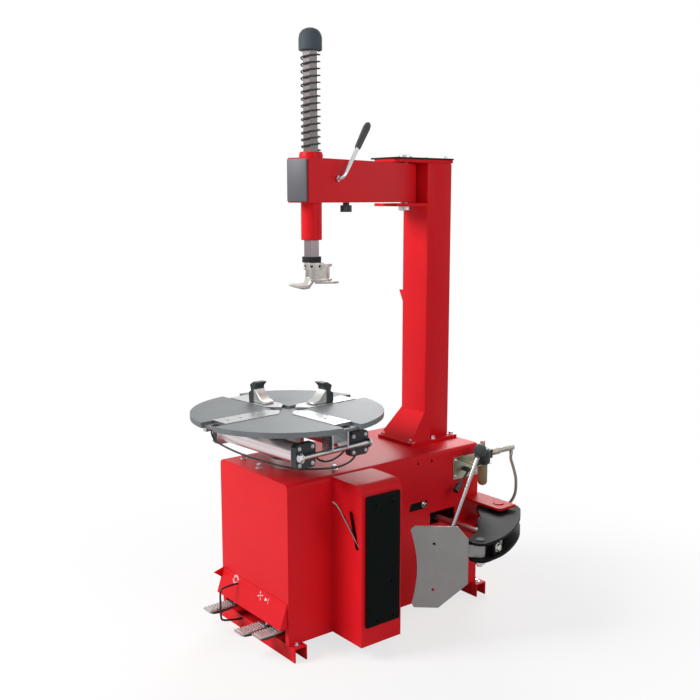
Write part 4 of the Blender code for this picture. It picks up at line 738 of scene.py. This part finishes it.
dress(ground_disc(), "table_disc")
dress(shaft_steel, "table_hub")
slide_steel = turned_steel("slide_steel", tint(196, 197, 198), 0.26, (0.06, 1.0, 1.0), 0.12)
dress(slide_steel, "slide_px", "slide_nx")
cross_steel = turned_steel("cross_steel", tint(186, 187, 188), 0.28, (1.0, 0.06, 1.0), 0.12)
dress(cross_steel, "slide_py", "slide_ny")


def jaw_casting(name, outward):
    """Blackened hooked jaw whose slope toward the middle is painted bright and metallic as a highlight."""
    made, shader, place = start(name)
    out = place.along(outward, tuple(table_at + Vector((0.0, 0.0, table_high.z))))
    high = place.along((0.0, 0.0, 1.0), (0.0, 0.0, table_high.z))
    worn = place.noise(160.0, 4.0)
    # Painted highlight: the lower slope toward the middle is bright and metallic.
    highlight_ramp = (out < 0.142 + worn * 0.004) * (high < 0.044)
    black = worn.mixed(tint(34, 40, 40), tint(70, 78, 77))
    bright = worn.mixed(tint(178, 178, 175), tint(214, 214, 211))
    feed(
        shader,
        Base_Color=highlight_ramp.mixed(black, bright),
        Metallic=0.5 + highlight_ramp * 0.5,
        Roughness=0.42 - highlight_ramp * 0.12 + worn * 0.10,
        Normal=relief(place, worn, 0.0004, 0.20, 0.0010),
    )
    return made


dress(jaw_casting("jaw_back_metal", (0.0, 1.0, 0.0)), "jaw_py")
dress(jaw_casting("jaw_left_metal", (-1.0, 0.0, 0.0)), "jaw_nx")


def cylinder_metal():
    """Bright drawn barrels between dark cast caps."""
    made, shader, place = start("cylinder_metal")
    axis = (math.cos(table_turn), math.sin(table_turn), 0.0)
    reach = place.along(axis, tuple(table_at))
    cap = (reach > 0.1885) + (reach < -0.1765)
    lines = place.stretched((0.04, 1.0, 1.0), (0.0, 0.0, -table_turn)).noise(800.0, 3.0)
    patch = place.noise(30.0, 3.0)
    barrel = (lines * 0.5 + patch * 0.5).mixed(tint(222, 208, 210), tint(244, 232, 234))
    feed(
        shader,
        Base_Color=cap.mixed(barrel, patch.mixed(tint(40, 42, 44), tint(66, 68, 70))),
        Metallic=1.0 - cap * 0.7,
        Roughness=0.26 + lines * 0.10 + cap * 0.14,
        Normal=relief(place, lines, 0.0002, 0.12, 0.0012),
    )
    return made


dress(cylinder_metal(), "clamp_cylinder_front", "clamp_cylinder_rear")
cylinder_z = 0.626
cylinder_y = 0.105
screw_off = 0.0245
tie_seats = []
for side in (-1.0, 1.0):
    sideways = table_place.to_3x3() @ Vector((0.0, side, 0.0))
    tie_seats.append((tuple(table_place @ Vector((0.222, side * 0.1296, cylinder_z))), tuple(sideways)))
bolts("tie_nuts", "clamp_right", tie_seats, 0.0125, 0.009, 0.0150)
cap_seats = []
for x, facing in ((0.212, 1.0), (-0.200, -1.0)):
    endways = table_place.to_3x3() @ Vector((facing, 0.0, 0.0))
    for middle in (-cylinder_y, cylinder_y):
        for across in (-screw_off, screw_off):
            for up in (-screw_off, screw_off):
                seat = table_place @ Vector((x, middle + across, cylinder_z + up))
                cap_seats.append((tuple(seat), tuple(endways)))
bolts("cap_screws", "clamp_right", cap_seats, 0.0046, 0.0036, 0.0062)
tube_black = enamel("tube_black", tint(22, 23, 25), 0.34)


def flowing(knots, parts):
    """Points of a smooth line through the knots."""
    points = [Vector(k) for k in knots]
    ends = [points[0] * 2.0 - points[1], *points, points[-1] * 2.0 - points[-2]]
    found = []
    for a, b, c, d in zip(ends, ends[1:], ends[2:], ends[3:]):
        for k in range(parts):
            t = k / parts
            found.append(
                (b * 2.0 + (c - a) * t + (a * 2.0 - b * 5.0 + c * 4.0 - d) * t * t
                 + (b * 3.0 - a - c * 3.0 + d) * t * t * t) * 0.5
            )
    found.append(points[-1])
    return found


def route_length(route):
    """Length of a line of points."""
    return sum((b - a).length for a, b in zip(route, route[1:]))


long_tube = (
    (-0.189, -0.1415, 0.645), (-0.191, -0.150, 0.640), (-0.188, -0.152, 0.620), (-0.165, -0.146, 0.600),
    (-0.110, -0.132, 0.584), (-0.040, -0.120, 0.575), (0.040, -0.110, 0.572), (0.110, -0.096, 0.570),
    (0.154, -0.064, 0.567), (0.186, -0.020, 0.566), (0.204, 0.022, 0.567), (0.208, 0.058, 0.572),
    (0.204, 0.086, 0.580), (0.201, 0.098, 0.5893),
)
short_tube = (
    (0.201, -0.0685, 0.618), (0.199, -0.060, 0.615), (0.194, -0.042, 0.600), (0.188, -0.012, 0.587),
    (0.187, 0.018, 0.586), (0.192, 0.045, 0.597), (0.198, 0.060, 0.613), (0.201, 0.0685, 0.618),
)
for name, knots in (("air_tube_long", long_tube), ("air_tube_short", short_tube)):
    route = flowing([table_place @ Vector(k) for k in knots], 5)
    tube = drawn(name, route, 0.003, tube_black, 2)
    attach(tube, "clamp_right")
    route_length(route)

# Drive, inside the cabinet: cast worm gearbox, grey motor, two pulleys and
# a rubber belt.
dress(cast_alloy, "gearbox")
dress(grey_enamel, "motor")
dress(shaft_steel, "worm_pulley", "motor_pulley")
dress(black_rubber, "drive_belt")

# Bead breaker: black double-plate arm on red lugs, a brushed steel blade
# with its handle, and the air ram that pulls it, inside the cabinet.
dress(red_paint, "breaker_lugs", "breaker_pin")


def breaker_paint():
    """Deep black paint with little shine."""
    made, shader, place = start("breaker_paint")
    dust = place.noise(16.0, 4.0)
    pebble = place.noise(260.0, 3.0)
    feed(
        shader,
        Base_Color=dust.mixed(tint(8, 9, 10), tint(20, 21, 22)),
        Roughness=0.40 + pebble * 0.14,
        Normal=relief(place, pebble, 0.0004, 0.15, 0.0020),
        Specular_IOR_Level=0.09,
    )
    return made


breaker_black = breaker_paint()
dress(breaker_black, "breaker_arm")
stud_steel = plated("stud_steel", tint(212, 210, 206), 0.22, 0.10)
lean = 0.30
edge_out = Vector((math.cos(lean), math.sin(lean), 0.0))
edge_seat = table_at + Vector((0.497, 0.416, 0.317))
edge_thick = 0.014
edge_block = [(-0.020, -0.0217), (0.020, -0.0217), (0.020, 0.0217), (-0.020, 0.0217)]
slabs("arm_edge_block", "breaker", [edge_block], edge_seat - edge_out * edge_thick,
      Vector((-edge_out.y, edge_out.x, 0.0)), Vector((0.0, 0.0, 1.0)), breaker_black, (0.0, edge_thick))
bolts("arm_edge_nut", "breaker", [(edge_seat, edge_out)], 0.0105, 0.009, 0.0140, stud_steel)
pin_metal = gripped_rod("blade_pin_metal", (0.0, 0.0, 0.0), (0.0, 0.0, 1.0), 0.300, tint(212, 210, 206))
dress(pin_metal, "blade_pin")
# A black block behind the cabinet's slot: it carries the adjusting bolt and darkens the slot as painted
# shade.
slot_shade_block = [(-0.046, -0.018), (0.046, -0.018), (0.046, 0.018), (-0.046, 0.018)]
slot_seat = Vector((cab_high.x - 0.0033, table_at.y + 0.3795, 0.371))
slot_thick = 0.012
slabs("slot_shade_block", "base", [slot_shade_block], slot_seat - Vector((slot_thick, 0.0, 0.0)),
      Vector((0.0, 1.0, 0.0)), Vector((0.0, 0.0, 1.0)), breaker_black, (0.0, slot_thick))
slot_bolt_at = slot_seat + Vector((0.0, 0.026, 0.0))
bolts("slot_bolt", "base", [(slot_bolt_at, (1.0, 0.0, 0.0))], 0.0080, 0.008, 0.0105, stud_steel)
blade_turn = math.radians(48.7)
blade_corner = table_at + Vector((0.355, 0.194, 0.0))


def brushed_blade():
    """Brushed steel blade with black mounting plates behind it."""
    made, shader, place = start("blade_steel")
    lines = place.stretched((1.0, 1.0, 0.03)).noise(900.0, 3.0)
    patch = place.noise(14.0, 4.0)
    behind = (-math.sin(blade_turn), math.cos(blade_turn), 0.0)
    mount = place.along(behind, tuple(blade_corner)) > 0.0083
    steel = (lines * 0.4 + patch * 0.6).mixed(tint(132, 128, 128), tint(166, 163, 163))
    feed(
        shader,
        Base_Color=mount.mixed(steel, tint(30, 31, 33)),
        Metallic=0.85 - mount * 0.85,
        Roughness=0.36 + lines * 0.12 + mount * 0.08,
        Normal=relief(place, lines, 0.0002, 0.15, 0.0012),
        Specular_IOR_Level=0.15,
    )
    return made


dress(brushed_blade(), "breaker_blade")
ball_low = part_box("breaker_handle")[1].z - 0.040
handle_metal = gripped_rod("handle_metal", (0.0, 0.0, 0.0), (0.0, 0.0, 1.0), ball_low, tint(178, 174, 174))
dress(handle_metal, "breaker_handle")
dress(cast_alloy, "breaker_ram")
dress(shaft_steel, "breaker_rod", "ram_stay")

# Air service unit: zinc bracket, black body with an amber bowl, a small
# regulator knob, a knurled coupling and the grey air hose to the cabinet.
yellow_zinc = plated("yellow_zinc", tint(186, 188, 168), 0.30, 0.16, 500.0)
dress(yellow_zinc, "unit_bracket")
bracket_seats = []
for y, z in ((0.541, 0.496), (0.541, 0.441), (0.636, 0.441)):
    bracket_seats.append((table_at + Vector((0.1898, y, z)), (1.0, 0.0, 0.0)))
bolts("bracket_screws", "base", bracket_seats, 0.0042, 0.0035, 0.0060)
dress(black_plastic, "unit_body", "valve_lever")
dress(plated("copper_knob", tint(164, 120, 108), 0.36, 0.15), "unit_knob")


def bowl_plastic():
    """Smoky amber plastic, slightly clear."""
    made, shader, place = start("amber_bowl")
    haze = place.noise(40.0, 3.0)
    feed(
        shader,
        Base_Color=haze.mixed(tint(142, 120, 90), tint(172, 150, 114)),
        Roughness=0.16 + haze * 0.10,
        Normal=relief(place, place.noise(220.0, 2.0), 0.0003, 0.10, 0.0010),
        Transmission_Weight=0.15,
        IOR=1.5,
    )
    return made


dress(bowl_plastic(), "unit_bowl")


def knurled(name, colour):
    """Nickelled fittings with a fine diamond knurl, its grooves painted darker as shade."""
    made, shader, place = start(name)
    grooves = []
    for turn in (0.7, -0.7):
        slanted = place.stretched((1.0, 1.0, 1.0), (turn, 0.0, 0.0))
        sockets = {"Vector": slanted, "Scale": 190.0}
        grooves.append(place.node("ShaderNodeTexWave", {"bands_direction": "Y"}, sockets, 1))
    diamond = grooves[0] * grooves[1]
    wear = place.noise(60.0, 3.0)
    # Painted shade: darker in the knurl's grooves, with random tone over it.
    feed(
        shader,
        Base_Color=(diamond * 0.6 + wear * 0.4).mixed(shade(colour, 0.62), shade(colour, 1.1)),
        Metallic=1.0,
        Roughness=0.22 + wear * 0.12,
        Normal=relief(place, diamond, 0.0008, 0.6, 0.0006),
    )
    return made


dress(knurled("knurled_nickel", tint(196, 188, 176)), "air_coupler")
dress(plated("brass", tint(196, 164, 100), 0.30, 0.12), "hose_fitting")
hose_knots = (
    (0.252, 0.741, 0.4955), (0.252, 0.741, 0.480), (0.257, 0.751, 0.445), (0.264, 0.756, 0.405),
    (0.260, 0.754, 0.350), (0.222, 0.750, 0.306), (0.164, 0.704, 0.298), (0.150, 0.686, 0.300),
    (0.150, 0.6725, 0.300),
)
hose_route = flowing([table_at + Vector(k) for k in hose_knots], 6)
hose_grey = moulded_rubber("hose_grey", tint(150, 144, 130), 600.0, 0.55)
hose = drawn("service_hose", hose_route, 0.005, hose_grey, 4)
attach(hose, "base")
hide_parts("air_hose")
route_length(hose_route)

# Studio: pale floor, white surround, one large soft light from the front
# left, weaker ones from the right and from behind, and the camera at the
# operator's front right.
floor_reach = 14.0
floor_z = -0.0005
white = (1.0, 1.0, 1.0, 1.0)
floor_corners = [(-floor_reach, -floor_reach, floor_z), (floor_reach, -floor_reach, floor_z),
                 (floor_reach, floor_reach, floor_z), (-floor_reach, floor_reach, floor_z)]
floor_mesh = bpy.data.meshes.new("studio_floor")
floor_mesh.from_pydata(floor_corners, [], [(0, 1, 2, 3)])
floor = bpy.data.objects.new("studio_floor", floor_mesh)
bpy.context.scene.collection.objects.link(floor)
floor_look, floor_shader, floor_place = start("studio_floor")
camera_ray = floor_place.node("ShaderNodeLightPath")
feed(
    floor_shader,
    Base_Color=camera_ray.mixed((0.78, 0.78, 0.78, 1.0), white),
    Roughness=1.0,
    Specular_IOR_Level=0.0,
)
distance = floor_place.node("ShaderNodeVectorMath", {"operation": "LENGTH"}, {0: floor_place}, 1)
fade = distance.node("ShaderNodeMapRange", None, {0: distance, 1: 0.7, 2: 1.6, 3: 0.72, 4: 1.0})
floor_tree = floor_look.node_tree
lit = Tap(floor_tree, floor_shader.outputs[0])
glow = lit.node("ShaderNodeEmission", None, {"Color": white})
blend = lit.node("ShaderNodeMixShader", None, {0: camera_ray * fade, 1: lit, 2: glow})
floor_tree.links.new(blend.socket, floor_tree.nodes["Material Output"].inputs["Surface"])
floor_mesh.materials.append(floor_look)

world = bpy.data.worlds.new("studio")
bpy.context.scene.world = world
world.use_nodes = True
sky = world.node_tree
dim_node = sky.nodes["Background"]
dim_node.inputs["Color"].default_value = (0.95, 0.97, 1.0, 1.0)
dim_node.inputs["Strength"].default_value = 0.22
dim = Tap(sky, dim_node.outputs[0])
rays = sky.nodes.new("ShaderNodeLightPath")
seen, mirrored, refracted = (
    Tap(sky, rays.outputs[label]) for label in ("Is Camera Ray", "Is Glossy Ray", "Is Transmission Ray")
)
direct = seen.sum("MAXIMUM", seen.sum("MAXIMUM", seen, mirrored), refracted)
bright = dim.node("ShaderNodeBackground", None, {"Color": white, "Strength": 1.0})
surround = dim.node("ShaderNodeMixShader", None, {0: direct, 1: dim, 2: bright})
sky.links.new(surround.socket, sky.nodes["World Output"].inputs["Surface"])


def soft_light(name, at, toward, size, power):
    """A round soft light that faces a point."""
    lamp = bpy.data.lights.new(name, "AREA")
    lamp.shape = "DISK"
    lamp.size = size
    lamp.energy = power
    holder = bpy.data.objects.new(name, lamp)
    bpy.context.scene.collection.objects.link(holder)
    holder.location = at
    holder.rotation_euler = (Vector(toward) - Vector(at)).to_track_quat("-Z", "Y").to_euler()


soft_light("front_light", (-1.6, -4.2, 3.6), (0.0, 0.0, 0.8), 2.6, 240.0)
soft_light("side_light", (4.2, 0.6, 2.6), (0.0, 0.0, 0.8), 2.6, 50.0)
soft_light("back_light", (-3.0, 3.4, 3.0), (0.0, 0.0, 0.7), 2.6, 90.0)

camera = bpy.data.cameras.new("camera")
camera.lens = 48.45
camera.sensor_width = 36.0
camera.sensor_fit = "HORIZONTAL"
eye = bpy.data.objects.new("camera", camera)
bpy.context.scene.collection.objects.link(eye)
eye.location = table_at + Vector((2.3433, -1.6056, 1.35))
eye.rotation_euler = (math.radians(80.9), 0.0, math.radians(51.7))
bpy.context.scene.camera = eye
bpy.context.scene.view_settings.view_transform = "Standard"
